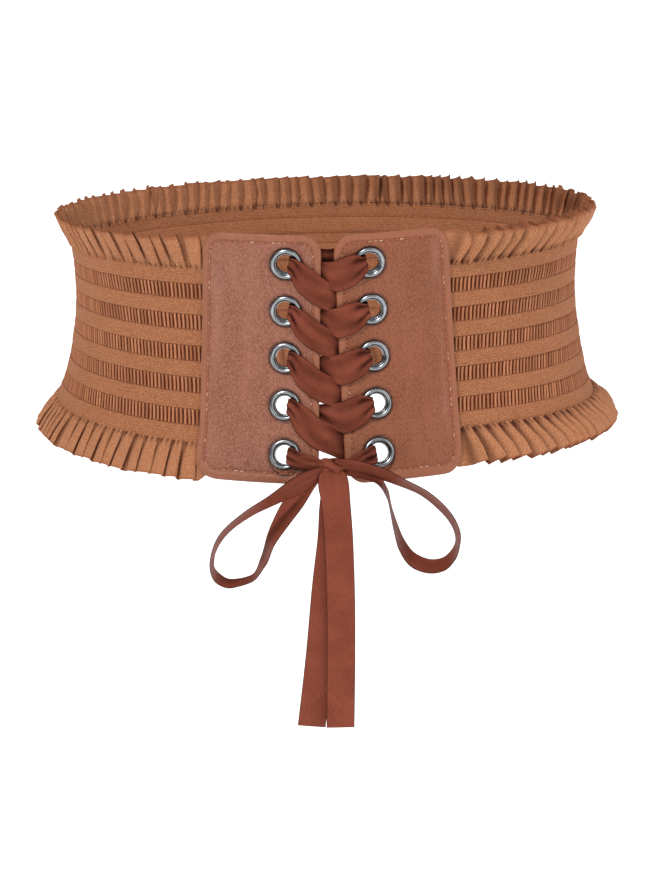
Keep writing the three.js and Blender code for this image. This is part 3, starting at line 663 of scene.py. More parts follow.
def leatherPanel(name, side, looks):
    def place(u, v):
        z = (closerAtEdges(v) - 0.5) * panel["height"]
        inset = cornerInset(z)
        start = halfGapAt(z) + inset
        end = halfGapAt(z) + panel["width"] - inset
        along = start + (end - start) * closerAtEdges(u, 0.16, 0.3)
        place.along = along
        place.z = z
        return onWaist(side * panelAlong(along, z, side), panelHeight(along, z), leatherFace(along, z, side))

    piece = shapedGrid(name, leather["columns"], leather["rows"], place)
    depth = depthInPanel(place.along, place.z)
    pointAttribute(piece, "rim", 1 - smoothStep(3.2, 4.4, depth))
    away = eyeletDistance(place.along, place.z)
    # painted shade: a dark ring round each eyelet where it sits on the leather, and a little in the seam groove
    ring = hill((away - 7.45) / 0.5) * 0.9
    seam = hill((depth - panel["seamInset"]) / 0.35) * 0.3
    pointAttribute(piece, "shade", np.clip(ring + seam, 0, 1))
    fromOuter = halfGapAt(place.z) + panel["width"] - place.along
    streak = hill((fromOuter - 6.6 - 0.6 * np.sin(place.z / 15)) / 1.7)
    pointAttribute(piece, "burnish", streak * smoothStep(8, 22, depth + fromOuter))
    if side < 0:
        piece.data.flip_normals()
    thicken(piece, panel["thickness"])
    for row in range(panel["eyelets"]):
        height = eyeletHeight(row)
        along = side * (halfGapAt(height) + panel["eyeletInset"])
        deselectAll()
        bpy.ops.mesh.primitive_cylinder_add(vertices=40, radius=panel["holeRadius"] * mm,
                                            depth=leather["punchDepth"] * mm)
        punch = bpy.context.object
        foot = Vector(onWaist(along, height, panel["front"]))
        turn = Vector((0, 0, 1)).rotation_difference(Vector(outwardAt(along, height)))
        punch.matrix_world = Matrix.Translation(foot) @ turn.to_matrix().to_4x4()
        cut = piece.modifiers.new("eyelet_hole", "BOOLEAN")
        cut.operation = "DIFFERENCE"
        cut.object = punch
        cut.solver = "EXACT"
        applyModifiers(piece)
        bpy.data.objects.remove(punch)
    smoothFaces(piece, 55)
    material = leatherMaterial(f"calf_leather_{sideNames[side]}", looks)
    return finishPiece(piece, material, "leather", f"{sideNames[side]}_panel")


stitch = {"pitch": 2.4, "length": 2.1, "radius": 0.36, "lift": 0.3}


def seamPath():
    # the sewn line round a panel, as places along and up, a stitch apart
    inset = panel["seamInset"]
    corner = panel["corner"] - inset
    tall = panel["height"] / 2 - inset
    wide = panel["width"] / 2 - inset
    spots = []
    for centreX, centreZ, start in ((1, 1, 0), (-1, 1, 90), (-1, -1, 180), (1, -1, 270)):
        for k in range(13):
            turn = math.radians(start + k * 7.5)
            spots.append((centreX * (wide - corner) + corner * math.cos(turn),
                          centreZ * (tall - corner) + corner * math.sin(turn)))
    spots.append(spots[0])
    spots = np.array(spots)
    lengths = np.concatenate([[0], np.cumsum(np.hypot(*np.diff(spots, axis=0).T))])
    return spots, lengths


def stitching(name, side):
    spots, lengths = seamPath()
    count = round(lengths[-1] / stitch["pitch"])
    starts = np.arange(count) * lengths[-1] / count
    shares = np.array([-0.5, -0.36, 0, 0.36, 0.5])
    lift = np.array([-0.2, 0.1, stitch["lift"], 0.1, -0.2])
    at = (starts[:, None] + shares[None, :] * stitch["length"]) % lengths[-1]
    z = np.interp(at, lengths, spots[:, 1])
    along = np.interp(at, lengths, spots[:, 0]) + halfGapAt(z) + panel["width"] / 2
    out = leatherFace(along, z, side) + lift[None, :]
    radii = np.tile(stitch["radius"] * np.array([0.6, 0.9, 1.0, 0.9, 0.6]), (count, 1))
    piece = rowOfCords(name, side * panelAlong(along, z, side), panelHeight(along, z), out, radii * 0.8, radii)
    smoothFaces(piece, 80)
    finishPiece(piece, threadMaterial(), "leather")


panelPieces = [leatherPanel(f"leather_panel_{name}", side, leather[name]) for side, name in sideNames.items()]
for side, name in sideNames.items():
    stitching(f"seam_stitches_{name}", side)
print("leather panels sewn")


# Eyelets

eyeletShape = {
    "around": 56,
    # the profile from the barrel over the dome to the washer behind and back: radius, height, tarnish and painted
    # shade
    "profile": [
        (4.3, 0.2, 0.8), (4.32, 1.8, 0.6), (4.4, 2.5, 0.45), (4.55, 2.85, 0.35), (4.75, 3.0, 0.4),
        (4.95, 3.02, 0.85), (5.05, 3.06, 0.85), (5.2, 3.26, 0.4), (5.5, 3.54, 0.1), (5.85, 3.7, 0),
        (6.2, 3.7, 0), (6.5, 3.58, 0.15), (6.8, 3.34, 0.4), (7.08, 2.92, 0.75), (7.22, 2.45, 0.95),
        (7.15, 2.15, 1), (6.5, 2.15, 1), (4.75, 2.15, 1), (4.75, 0.2, 1), (6.3, 0.2, 0.6),
        (6.9, 0.1, 0.3), (7.0, -0.25, 0.2), (6.4, -0.5, 0.1), (5.2, -0.6, 0.1), (4.6, -0.5, 0.3),
        (4.35, -0.2, 0.6), (4.3, 0.2, 0.7),
    ],
}


def eyelet(name, side, row, material):
    profile = smoothPath(eyeletShape["profile"], 3)
    radius, height, tarnish = profile.T
    count = len(profile) - 1
    up = eyeletHeight(row)
    along = side * (halfGapAt(up) + panel["eyeletInset"])
    foot = onWaist(along, up, 0)
    outward = outwardAt(along, up)
    across = unit(np.cross([0, 0, 1], outward))
    upward = np.cross(outward, across)

    def place(u, v):
        k = np.rint(v * count).astype(int)
        turn = u * 2 * math.pi
        # tarnish in the groove, painted shade at the rim against the leather
        place.tarnish = np.clip(tarnish[k], 0, 1)
        ring = radius[k][:, None] * (np.cos(turn)[:, None] * across + np.sin(turn)[:, None] * upward)
        return foot + (ring + height[k][:, None] * outward) * mm

    piece = shapedGrid(name, eyeletShape["around"], count, place)
    pointAttribute(piece, "tarnish", place.tarnish)
    faceOutward(piece)
    smoothFaces(piece, 70)
    finishPiece(piece, material, "eyelet_metal", f"eyelet_{sideNames[side]}_{row + 1}")


nickel = nickelMaterial()
for row in range(panel["eyelets"]):
    for side, name in sideNames.items():
        eyelet(f"rolled_eyelet_{name}_{row + 1}", side, row, nickel)
print("eyelets set")


# Elastic band

band = {
    "bottom": -40.2,
    "height": 79.4,
    "tuck": 7.0,
    "rowCount": 5,
    "rowHeight": 7.0,
    "rowPitch": 14.3,
    "rowDepth": 0.9,
    "wall": 0.7,
    "insideShade": 0.12,
    "ribPitch": 2.12,
    "ribWidth": 0.6,
    "ribDepth": 0.5,
    "ribStart": 1.1,
    "columns": 300,
    # how far the lower edge is moved up beside the panels and at the sides; turned as in settled
    "turned": [0.0, 0.3, 0.62, 0.8, 0.97, 1.1],
    "raisedLeft": [0.0, 0.0, 0.0, -0.9, -2.2, -2.2],
    "raisedRight": [0.0, 0.0, -2.0, -0.6, 1.5, 1.5],
}
elasticLooks = {
    "base": "#965a37", "second": "#8c5230", "dark": "#763b1e", "light": "#c38a63", "deep": "#66301a",
    "weft": (0.24, "Y"), "warp": (0.3, "X"), "fuzz": 1900, "hem": "#763b1e", "hemShare": 0,
}


def rowMiddles():
    centre = band["bottom"] + band["height"] / 2
    return [centre + (k - (band["rowCount"] - 1) / 2) * band["rowPitch"] for k in range(band["rowCount"])]


def settled(z, share):
    # the height and the extra distance outward of a place round the back: the lower part hangs unevenly
    # and leans toward the left side; turned is 0 at the middle of the back and 1 at the panels
    turned = np.abs(2 * share - 1)
    left = smoothStep(0.45, 0.55, share)
    low = np.clip((band["bottom"] + band["height"] - z) / band["height"], 0, 1.25)
    raised = (left * smoothTable(band["turned"], band["raisedLeft"], turned)
              + (1 - left) * smoothTable(band["turned"], band["raisedRight"], turned))
    atSide = hill((turned - 0.6) / 0.18)
    lean = 2.3 * low ** 1.5 * left - 1.2 * hill((z + 36) / 12) * (1 - left)
    return z + raised * np.minimum(low, 1), lean * atSide


def bandSection():
    # heights and outward places of the band's face from its lower edge up, with shade in the sunk rows
    half = band["rowHeight"] / 2
    deep = band["rowDepth"]
    table = [(band["bottom"], -0.45, 0.1), (band["bottom"] + 0.35, -0.08, 0.0), (band["bottom"] + 1.2, 0.0, 0.0)]
    # past the edge of a row, outward, shade
    lip = [(3.0, 0.1, 0), (0.7, 0.06, 0), (0.15, -0.02, 0.1),
           (-0.12, -deep * 0.6, 0.7), (-0.35, -deep, 1), (-2, -deep, 1)]
    for middle in rowMiddles():
        table += [(middle - (half + past), out, shade) for past, out, shade in lip]
        table += [(middle + (half + past), out, shade) for past, out, shade in lip[::-1]]
    top = band["bottom"] + band["height"]
    table += [(top - 1.2, 0.0, 0.0), (top - 0.35, -0.08, 0.0), (top, -0.45, 0.1)]
    return np.array(table)


def elasticBand():
    section = bandSection()
    rows = len(section) - 1

    def place(u, v):
        k = np.rint(v * rows).astype(int)
        z = section[k, 0]
        # the painted shade in the slots is weaker where the belt turns away, so they look shallower
        place.shade = section[k, 2] * (0.35 + 0.65 * smoothStep(0.58, 0.9, np.abs(2 * u - 1)))
        start, span = backSpan(z)
        share = (u * (span + 2 * band["tuck"]) - band["tuck"]) / span
        height, extra = settled(z, share)
        start, span = backSpan(height)
        return onWaist(start + share * span, height, section[k, 1] + extra)

    piece = shapedGrid("ribbed_elastic", band["columns"], rows, place)
    pointAttribute(piece, "shade", place.shade)
    # the piece's own map gives real heights, not row numbers
    shift = {k: (section[k, 0] - band["bottom"]) / band["height"] for k in range(rows + 1)}
    for loop in piece.data.uv_layers.active.data:
        loop.uv[1] = shift[round(loop.uv[1] * rows)]
    thicken(piece, band["wall"])
    # the inside has no painted slot shade, only a faint even painted shade
    outside = len(place.shade)
    for index in range(outside, 2 * outside):
        piece.data.attributes["shade"].data[index].value = band["insideShade"]
    smoothFaces(piece, 50)
    material = elasticMaterial("woven_elastic", backSpan(0)[1] + 2 * band["tuck"], band["height"], elasticLooks)
    return finishPiece(piece, material, "elastic", "elastic_band")


def ladderRibs():
    cords = []
    stations = np.array([-0.5, -0.3, 0, 0.3, 0.5])
    ribShape = np.array([1.25, 0.98, 0.92, 0.98, 1.25])
    outShape = np.array([-0.78, -0.5, -0.42, -0.5, -0.78])
    dice = random.Random(11)
    for middle in rowMiddles():
        start, span = backSpan(middle)
        ribSpan = span - 2 * band["ribStart"]
        count = int(ribSpan / band["ribPitch"])
        for n in range(count):
            fromPanel = (n + 0.5) / count
            share = (band["ribStart"] + ribSpan * fromPanel + dice.uniform(-0.12, 0.12)) / span
            side = 1 if fromPanel < 0.5 else -1
            nearness = abs(fromPanel - 0.5) * 2
            lean = side * (dice.uniform(0.5, 0.9) + 0.9 * smoothStep(1.0, 0.8, nearness))
            height, extra = settled(middle + stations * (band["rowHeight"] + 0.5), share)
            rowStart, rowSpan = backSpan(height)
            along = rowStart + share * rowSpan + lean * stations - side * 0.3 * np.cos(stations * math.pi)
            width = band["ribWidth"] * (1.08 + 0.08 * smoothStep(0.98, 0.74, nearness)) * ribShape
            # painted light: only the ribs near the panels are given the lighter tone, so the ribs darken toward
            # the sides
            cords.append((along, height, outShape + extra, width, smoothStep(0.55, 0.85, nearness)))
    along, z, out, width, light = (np.array(column) for column in zip(*cords))
    outRadius = np.tile(band["ribDepth"] * np.array([0.7, 0.95, 1.0, 0.95, 0.7]), (len(cords), 1))
    piece = rowOfCords("ladder_ribs", along, z, out, outRadius, width, light)
    smoothFaces(piece, 80)
    return finishPiece(piece, ribMaterial(), "elastic")


bandPiece = elasticBand()
ribPiece = ladderRibs()
print("elastic band woven")


# Pleated ruffles

pleat = {
    "pitch": 6.4,
    "columns": 12,
    "rows": 16,
    "wall": 0.6,
    # one knife pleat: share of the pitch, place across as a share, how far it stands out
    "share": [0.0, 0.08, 0.22, 0.42, 0.62, 0.76, 0.84, 0.9, 0.95, 1.0],
    "across": [0.0, 0.08, 0.26, 0.56, 0.88, 1.1, 1.16, 1.08, 1.0, 1.0],
    "out": [0.0, 0.28, 0.62, 0.86, 1.0, 1.0, 0.72, 0.4, 0.14, 0.0],
    # lean and trim have a value for the left half and one for the right
    "top": {
        "root": 39.0, "height": 15.8, "way": 1, "flare": 4.4, "lean": (-4.6, 4.6), "depth": 4.8,
        "sideFlare": 0.1, "foldShade": 0.58, "hem": 0.92, "trim": (0, 0), "seed": 21,
    },
    "bottom": {
        "root": -40.0, "height": 17.2, "way": -1, "flare": 3.4, "lean": (-0.6, 5.5), "depth": 4.4,
        "sideFlare": 0.75, "foldShade": 0.75, "hem": 0.96, "trim": (1.2, 2.2), "seed": 34,
    },
}
ruffleLooks = {
    "base": "#ae6e4a", "second": "#a46541", "dark": "#854d2c", "light": "#cb936c", "deep": "#451a0a",
    "weft": (0.34, "DIAGONAL"), "warp": (0.4, "X"), "fuzz": 2000, "hem": "#8a4a2b", "hemShare": 0.75,
}


def pleatedRuffle(name, node, sizes):
    dice = random.Random(sizes["seed"])
    root = sizes["root"]
    length = backSpan(root)[1]
    count = round(length / pleat["pitch"])
    ranges = ((0.78, 1.25), (0.7, 1.2), (-1.6, 1.6), (-0.8, 0.7), (0.6, 1.5))
    widths, depths, leans, hems, twists = (
        np.array([dice.uniform(*ends) for _ in range(count)]) for ends in ranges)
    edges = np.concatenate([[0], np.cumsum(widths) / widths.sum()])
    tuckColumns = 4
    columns = count * pleat["columns"] + 2 * tuckColumns

    def place(u, v):
        step = u * columns - tuckColumns
        t = step / pleat["columns"]
        k = np.clip(np.floor(t + 1e-6), 0, count - 1).astype(int)
        s = np.clip(t - k, 0, 1)
        across = np.interp(s, pleat["share"], pleat["across"])
        fold = np.interp(s, pleat["share"], pleat["out"])
        # the folds close up toward the seam and open toward the hem
        opening = smoothStep(0.0, 0.75, v)
        share = edges[k] + (edges[k + 1] - edges[k]) * (s + (across - s) * (0.35 + 0.65 * opening))
        inTuck = np.clip(np.maximum(-step, step - count * pleat["columns"]), 0, tuckColumns) / tuckColumns
        fromEnd = np.minimum(t, count - t)
        fade = smoothStep(0, 0.12, fromEnd) * (inTuck <= 0)
        # turned is 0 at the middle of the back and 1 at the panels
        turned = np.abs(2 * (share - 0.5))
        back = smoothStep(0.4, 0.14, turned)
        leftHalf = smoothStep(0.45, 0.55, share)
        flareFade = (0.12 + 0.88 * smoothStep(0, 1.8, fromEnd)) * (1 - 0.5 * back)
        flareFade = flareFade * (1 + sizes["sideFlare"] * hill((turned - 0.42) / 0.14))
        trim = sizes["trim"][0] * leftHalf + sizes["trim"][1] * (1 - leftHalf)
        height = sizes["height"] + 0.6 * hems[k] * fade - trim * hill((turned - 0.66) / 0.2)
        # the ends tucked behind the panels are shorter, so they don't show past the corners
        height = height * (1 - 0.2 * smoothStep(0.2, 1, inTuck))
        z = root + sizes["way"] * (v * height * (1 - 0.055 * fold * fade) - 0.8 * (1 - v))
        z, extra = settled(z, share)
        start, full = backSpan(z)
        along = start + share * full
        along = np.where(step < 0, start - band["tuck"] * inTuck, along)
        along = np.where(step > count * pleat["columns"], start + full + band["tuck"] * inTuck, along)
        lean = sizes["lean"][1] + (sizes["lean"][0] - sizes["lean"][1]) * leftHalf
        lean = (lean * smoothStep(0.0, 0.35, turned) + leans[k]) * fade
        along = along + lean * v
        # each face is turned with its lean, so its hem slants
        z = z - sizes["way"] * lean / height * (s - 0.5) * full / count * v * fade
        depth = sizes["depth"] * depths[k] * fade * (1 - 0.5 * leftHalf)
        foldOut = depth * fold * (0.32 + 0.68 * opening) * (0.75 + 0.25 * smoothStep(0, 1.4, fromEnd))
        bell = 0.55 * np.sin(v * math.pi) * fold * fade * twists[k]
        gather = np.cos((t * 3 + 0.2 * np.sin(k * 2.3)) * 2 * math.pi)
        crimp = 0.6 * hill((v - 0.1) / 0.12) * gather * fade
        flare = sizes["flare"] * v ** 1.2 * flareFade
        hemRoll = 0.4 * hill((v - 0.97) / 0.035)
        out = -0.75 + 0.55 * smoothStep(0, 0.12, v) + flare + foldOut - depth * 0.3 * opening * fade + bell + crimp
        # painted shade in the dents of the gathers by the seam
        dent = hill((v - 0.05) / 0.09) * np.clip(0.4 - 0.75 * gather, 0, 1)
        # painted shade in the fold: the step itself on the left half, the start of the next face on the right half
        inStep = smoothStep(0.84, 0.93, s)
        under = smoothStep(0.5 - 0.25 * leftHalf, 0.2 - 0.06 * leftHalf, s) * (1 - 0.3 * leftHalf)
        place.shade = 0.8 * dent * fade + sizes["foldShade"] * (inStep + under) * fade * (1 - 0.25 * v)
        place.hem = smoothStep(sizes["hem"], sizes["hem"] + 0.04, v)
        return onWaist(along, z, out + hemRoll + extra)

    piece = shapedGrid(name, columns, pleat["rows"], place)
    pointAttribute(piece, "shade", np.clip(place.shade, 0, 1))
    pointAttribute(piece, "hem", place.hem)
    if sizes["way"] < 0:
        piece.data.flip_normals()
    thicken(piece, pleat["wall"])
    smoothFaces(piece, 60)
    material = elasticMaterial(f"gathered_twill_{node}", length * 1.7, sizes["height"], ruffleLooks)
    finishPiece(piece, material, "elastic", node)


for edge in ("top", "bottom"):
    pleatedRuffle(f"pleated_ruffle_{edge}", f"{edge}_ruffle", pleat[edge])
print("ruffles gathered")


# Satin ribbon: lacing

ribbon = {
    "width": 13.3,
    "wall": 0.3,
    "across": 14,
    "steps": 9,
    "looks": {"base": "#793b2c", "second": "#693122", "light": "#a2604d", "fold": "#2f110b"},
}
lacing = {
    # how far below an eyelet the gap's width is taken
    "gapBelow": 9,
    # how deep the ribbon is pleated in an eyelet and elsewhere
    "pinched": 0.5,
    "open": 0.12,
    # the lacing's own map is drawn narrower than the ribbon, because most of it is gathered
    "mapShare": 0.9,
    # columns: upper edge reach, upper edge height, lower edge reach, lower edge height,
    # upper out, lower out, and where it isn't 0 the share of the gap added to the upper and lower reach;
    # reach runs from the eyelet centre toward the gap, height from the eyelet centre
    "through": [
        (7.9, 3.1, 7.9, -3.3, -1.3, -1.3), (4.2, 3.1, 3.8, -3.4, -1.9, -1.9), (2.0, 2.9, 1.0, -3.2, -1.2, -1.2),
        (1.7, 3.0, 0.6, -3.3, 1.0, 1.0), (2.2, 3.1, 0.9, -3.6, 3.6, 3.5), (3.6, 3.2, 1.9, -4.9, 4.5, 4.4),
    ],
    "leftOnward": [
        (5.6, 2.3, 2.9, -8.0, 4.6, 4.0), (8.8, 0.1, 5.0, -12.4, 4.2, 3.4), (12.8, -3.2, 9.3, -16.6, 3.6, 3.2),
        (15.8, -5.9, 14.0, -19.9, 3.3, 3.2), (15.9, -8.6, 15.8, -22.0, 2.7, 2.7, 0.5, 0.3),
        (16.2, -12.4, 15.9, -24.0, 0.3, 1.2, 0.95, 0.75), (18.3, -14.6, 17.3, -24.4, -1.0, -0.7, 1, 1),
    ],
    "rightOnward": [
        (6.6, 4.3, 4.4, -8.2, 4.6, 4.0), (10.6, 3.6, 8.6, -11.2, 4.0, 3.4), (15.8, 1.5, 15.2, -13.1, 3.3, 3.1),
        (15.9, 0.7, 15.8, -10.4, 1.9, 2.0, 0.5, 0.42), (16.0, 0.1, 15.9, -7.0, -0.2, 0.1, 0.95, 0.9),
        (18.2, -2.4, 18.0, -9.3, -1.0, -1.0, 1, 1),
    ],
    "leftEnd": [
        (5.4, 2.0, 3.4, -5.2, 4.7, 4.3), (9.6, 0.5, 7.2, -6.0, 4.7, 4.3), (14.6, -1.2, 13.4, -6.7, 5.7, 4.6),
        (17.6, -2.6, 16.8, -6.4, 7.0, 6.2), (20.6, -3.8, 20.4, -6.0, 7.4, 7.0),
    ],
    "rightEnd": [
        (5.6, 2.1, 4.6, -4.9, 4.6, 4.3), (9.0, 0.6, 8.4, -4.9, 4.5, 4.2), (13.4, -2.0, 13.0, -6.0, 4.8, 4.4),
        (17.2, -3.4, 16.8, -6.2, 5.6, 5.2), (20.6, -4.2, 20.4, -6.0, 6.6, 6.2),
    ],
}


def ribbonSheet(name, node, satin, mapWidth, upper, lower, crease, shading):
    # a ribbon between two edges, in metres
    # crease gives how far it bulges, and shading how dark it is, at each station and share across
    count = len(upper) - 1
    middle = (upper + lower) / 2
    length = np.linalg.norm(np.diff(middle, axis=0), axis=1).sum() / mm
    normal = unit(np.cross(np.gradient(middle, axis=0), upper - lower))

    def place(u, v):
        k = np.rint(u * count).astype(int)
        spot = lower[k] + (upper[k] - lower[k]) * v[:, None]
        place.shade = np.clip(shading(k, v), 0, 1)
        return spot + normal[k] * (crease(k, v) * mm)[:, None]

    piece = shapedGrid(name, count, ribbon["across"], place)
    pointAttribute(piece, "shade", place.shade)
    thicken(piece, ribbon["wall"], 0.0)
    smoothFaces(piece, 70)
    finishPiece(piece, satinMaterial(satin, length, mapWidth), "ribbon", node)


def laceStations(firstSide):
    rows = []
    side = firstSide
    for k in range(panel["eyelets"]):
        height = eyeletHeight(k)
        gap = 2 * halfGapAt(height - lacing["gapBelow"])
        onward = lacing[sideNames[side] + ("End" if k == panel["eyelets"] - 1 else "Onward")]
        for n, row in enumerate(lacing["through"] + onward):
            upReach, up, lowReach, low, upOut, lowOut, upGap, lowGap = (*row, 0, 0)[:8]
            start = halfGapAt(height) + panel["eyeletInset"]
            upAlong = side * (start - upReach - upGap * gap)
            lowAlong = side * (start - lowReach - lowGap * gap)
            pleats = lacing["pinched" if 2 <= n <= 6 else "open"]
            rows.append((upAlong, height + up, upOut, lowAlong, height + low, lowOut, pleats, side))
        side = -side
    return rows


def laceRibbon():
    # the straight part behind the top pair
    top = eyeletHeight(0)
    bar = [(along, top + 5.6, -2.0, along, top - 1.2, -2.0, 0.1, 1) for along in (-5.0, 0, 5.0)]
    stations = laceStations(-1)[::-1] + bar + laceStations(1)
    path = smoothPath(stations, ribbon["steps"])
    upper = onWaist(path[:, 0], path[:, 1], path[:, 2])
    lower = onWaist(path[:, 3], path[:, 4], path[:, 5])
    pleats = path[:, 6]

    def wave(k, v):
        return np.sin(v * 2.2 * math.pi * 2 + 0.9 * np.sin(k * 0.11))

    def drift(k, v):
        return v * 2.6 * math.pi + k * 0.13 + 0.8 * np.sin(k * 0.07)

    def crease(k, v):
        hump = np.sin(np.clip(v, 0.02, 0.98) * math.pi)
        folds = wave(k, v) * pleats[k] * 1.1
        bulge = (0.8 + 0.35 * np.sin(k * 0.23)) * hump * (1 - 0.5 * pleats[k])
        ripple = 0.5 * np.sin(drift(k, v))
        return (folds + ripple) * hump ** 0.6 * np.abs(facing[k]) + bulge * facing[k]

    def shading(k, v):
        # painted shade in the valleys where the ribbon is pinched, where it dives behind the leather, and along
        # one flank of each ripple
        valley = 0.5 - 0.5 * wave(k, v)
        depthBehind = smoothStep(2.6, -0.6, (path[k, 2] + path[k, 5]) / 2)
        soft = 0.5 + 0.5 * np.sin(drift(k, v) + 2.4)
        return 0.8 * valley ** 2 * np.clip(pleats[k] * 2, 0, 1) + 0.55 * depthBehind + 0.28 * soft

    # facing is 1 where the ribbon's face looks outward and -1 where its back does
    normal = unit(np.cross(np.gradient((upper + lower) / 2, axis=0), upper - lower))
    outward = outwardAt((path[:, 0] + path[:, 3]) / 2, (path[:, 1] + path[:, 4]) / 2)
    facing = (normal * outward).sum(axis=1)
    ribbonSheet("laced_ribbon", "lace", "satin_lacing", ribbon["width"] * lacing["mapShare"], upper, lower,
                crease, shading)


laceRibbon()
print("ribbon laced")


# Satin ribbon: knot, loops and tails

bow = {
    "knotHeight": eyeletHeight(panel["eyelets"] - 1) - 0.24 * panel["eyeletPitch"],
    "knotOut": 6.88,
    # half sizes of the knot: across, out, up
    "knotHalves": (5.4, 3.7, 4.0),
    "reach": 56.0,
    "tail": 129.0,
    "loopDrop": 0.94,
    "steps": 12,
    # the folds by the knot: whether both ends are there, phase, how far they last, depth; the ribbon's bulge
    # beyond them and its drift; the painted shade in the folds, and the painted shade by the knot (dusk) and how
    # far it lasts
    "loopFolds": {
        "bothEnds": True, "phase": 0, "last": 16, "depth": 0.45, "bulge": 0.25, "drift": 0,
        "dark": 0.8, "dusk": 0.15, "duskLasts": 16,
    },
    "tailFolds": {
        "bothEnds": False, "phase": 0.6, "last": 9, "depth": 0.55, "bulge": 0.3, "drift": 0.02,
        "dark": 0.7, "dusk": 0.3, "duskLasts": 5,
    },
    # columns: across, out, up as shares of the reach; turn edge-on as a share of a quarter turn; width share
    "leftLoop": [
        (-0.03, 0.02, 0.0, 0.3, 0.2), (-0.12, 0.05, -0.05, 0.32, 0.6), (-0.265, 0.09, -0.124, 0.38, 0.92),
        (-0.485, 0.15, -0.238, 0.58, 1), (-0.706, 0.22, -0.35, 0.68, 1), (-0.892, 0.26, -0.502, 0.76, 1),
        (-0.985, 0.26, -0.694, 0.89, 1), (-0.99, 0.24, -0.85, 0.96, 1), (-0.926, 0.2, -0.95, 1.0, 1),
        (-0.83, 0.17, -0.99, 1.04, 1), (-0.669, 0.13, -0.955, 1.04, 1), (-0.581, 0.08, -0.825, 0.9, 1),
        (-0.515, 0.04, -0.647, 0.83, 1), (-0.412, 0.0, -0.464, 0.7, 1), (-0.309, -0.02, -0.308, 0.6, 0.95),
        (-0.206, -0.01, -0.16, 0.5, 0.7), (-0.1, 0, -0.075, 0.5, 0.35), (-0.03, 0, -0.03, 0.5, 0.25),
    ],
    "rightLoop": [
        (0.02, 0.04, 0.025, -0.3, 0.3), (0.08, 0.07, 0.04, -0.4, 0.6), (0.176, 0.11, 0.04, -0.5, 0.75),
        (0.39, 0.17, -0.02, -0.555, 0.92), (0.535, 0.2, -0.083, -0.645, 1), (0.74, 0.25, -0.184, -0.705, 1),
        (0.9, 0.26, -0.341, -0.75, 1), (0.99, 0.25, -0.504, -0.845, 1), (1.005, 0.24, -0.65, -0.967, 1),
        (0.975, 0.22, -0.758, -0.97, 1), (0.895, 0.2, -0.85, -0.933, 1), (0.77, 0.18, -0.872, -0.885, 1),
        (0.64, 0.15, -0.815, -0.843, 1), (0.556, 0.13, -0.685, -0.858, 1), (0.51, 0.12, -0.533, -0.907, 1),
        (0.475, 0.1, -0.377, -0.956, 1), (0.445, 0.09, -0.23, -0.952, 0.95), (0.37, 0.07, -0.11, -0.93, 0.8),
        (0.24, 0.04, -0.06, -0.85, 0.6), (0.108, 0.01, -0.05, -0.7, 0.3), (0.03, 0, -0.03, -0.6, 0.25),
    ],
    # columns: across and out in ribbon widths, down as a share of the tail, turn, width share
    "leftTail": [
        (0.01, -0.02, 0.0, 0, 0.4), (0.02, -0.03, 0.037, 0, 0.7), (0.05, -0.04, 0.1, 0, 0.9),
        (0.02, -0.05, 0.16, 0, 1),
        (-0.07, -0.06, 0.28, 0, 1), (-0.3, -0.06, 0.46, 0, 1), (-0.58, -0.05, 0.73, 0, 1), (-0.92, -0.03, 1, 0, 1),
    ],
    "rightTail": [
        (0.0, 0.1, 0.0, 0, 0.5), (0.0, 0.2, 0.022, 0, 0.9), (0.03, 0.22, 0.06, 0, 1.06), (0.11, 0.2, 0.14, 0, 1),
        (0.18, 0.17, 0.28, 0, 1), (0.21, 0.14, 0.5, 0, 1), (0.18, 0.12, 0.74, 0, 1), (0.11, 0.13, 1, 0, 1),
    ],
}


knotCentre = onWaist(0.0, bow["knotHeight"], bow["knotOut"])


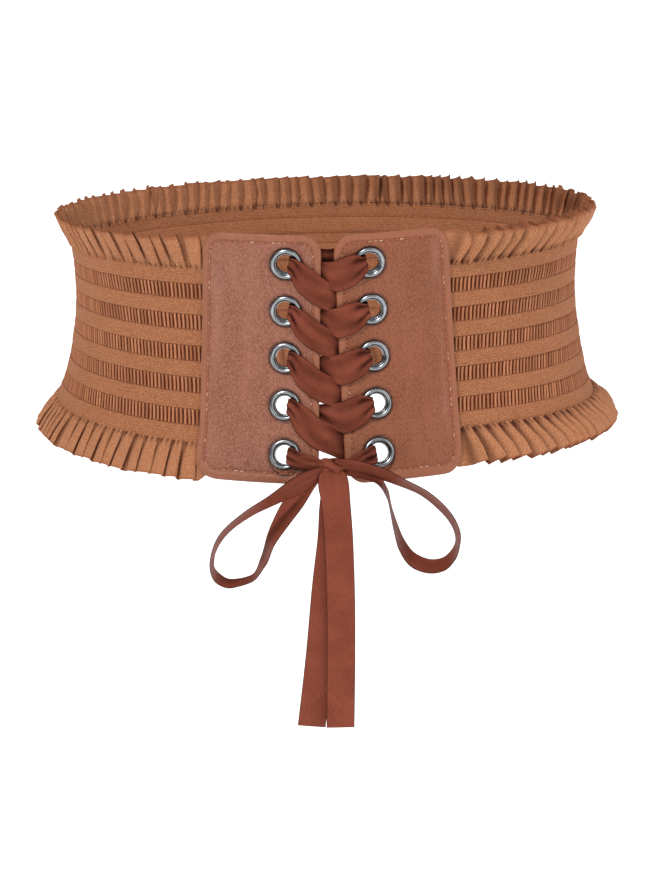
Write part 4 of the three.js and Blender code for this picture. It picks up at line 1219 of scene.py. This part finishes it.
def bowRibbon(name, node, table, scale, folds):
    # a loop or a tail; scale turns the places of its table into millimetres
    rows = np.array(table)
    spots = knotCentre + rows[:, :3] * scale * mm
    places = np.column_stack([spots, rows[:, 3] * math.pi / 2, rows[:, 4] * ribbon["width"]])
    path = smoothPath(places, bow["steps"])
    middle = path[:, :3]
    run = unit(np.gradient(middle, axis=0))
    flat = unit(np.cross(run, [0.0, -1.0, 0.0]))
    toward = np.cross(flat, run)
    turn = path[:, 3:4]
    wide = flat * np.cos(turn) + toward * np.sin(turn)
    half = path[:, 4:5] / 2 * mm

    def fromKnot(k):
        return np.minimum(k, len(path) - 1 - k) if folds["bothEnds"] else k

    def wave(v):
        return np.sin(v * 3 * math.pi * 2 + folds["phase"])

    def crease(k, v):
        near = np.exp(-fromKnot(k) / folds["last"])
        bulge = folds["bulge"] * np.sin(v * math.pi + folds["drift"] * k)
        return wave(v) * folds["depth"] * near + bulge * (1 - near)

    def shading(k, v):
        near = np.exp(-fromKnot(k) / folds["last"])
        dusk = folds["dusk"] * np.exp(-fromKnot(k) / folds["duskLasts"])
        return (0.5 - 0.5 * wave(v)) ** 2 * folds["dark"] * near + dusk

    ribbonSheet(name, node, f"satin_{node}", ribbon["width"], middle + wide * half, middle - wide * half,
                crease, shading)


def wrappedKnot():
    # a pinched ball of ribbon with deep folds, and a wrap laid across it
    deselectAll()
    bpy.ops.mesh.primitive_uv_sphere_add(segments=72, ring_count=44, radius=1)
    piece = bpy.context.object
    piece.name = "wrapped_knot"

    def place(ball):
        x, y, z = ball.T
        folds = 0.07 * np.cos((x * 0.85 + z * 0.55) * 7 + 1.5 * y) + 0.03 * np.cos(z * 11 - x * 4)
        ridge = 0.24 * hill((z - 0.3 + 0.45 * x) / 0.3)
        # painted shade in the valleys between the knot's folds
        place.shade = np.clip(0.3 - (folds + ridge) * 5, 0, 0.9)
        grow = 1 + (folds + ridge) * (1 - np.abs(y) ** 6 * 0.3)
        pinch = 1 - 0.25 * hill((x + 0.15) / 0.3) * (z < 0)
        shaped = np.stack([x * grow, y * grow, z * grow * pinch], 1) * bow["knotHalves"]
        return knotCentre + shaped * mm

    movePoints(piece, place)
    pointAttribute(piece, "shade", place.shade)
    smoothFaces(piece, 80)
    material = satinMaterial("satin_knot", 30, ribbon["width"])
    finishPiece(piece, material, "ribbon", "bow_knot")


wrappedKnot()
loopScale = np.array([1, -1, bow["loopDrop"]]) * bow["reach"]
tailScale = np.array([ribbon["width"], -ribbon["width"], -bow["tail"]])
for name in sideNames.values():
    bowRibbon(f"bow_loop_of_satin_{name}", f"bow_loop_{name}", bow[f"{name}Loop"], loopScale, bow["loopFolds"])
for name in sideNames.values():
    bowRibbon(f"hanging_tail_{name}", f"tail_{name}", bow[f"{name}Tail"], tailScale, bow["tailFolds"])
print("bow tied")
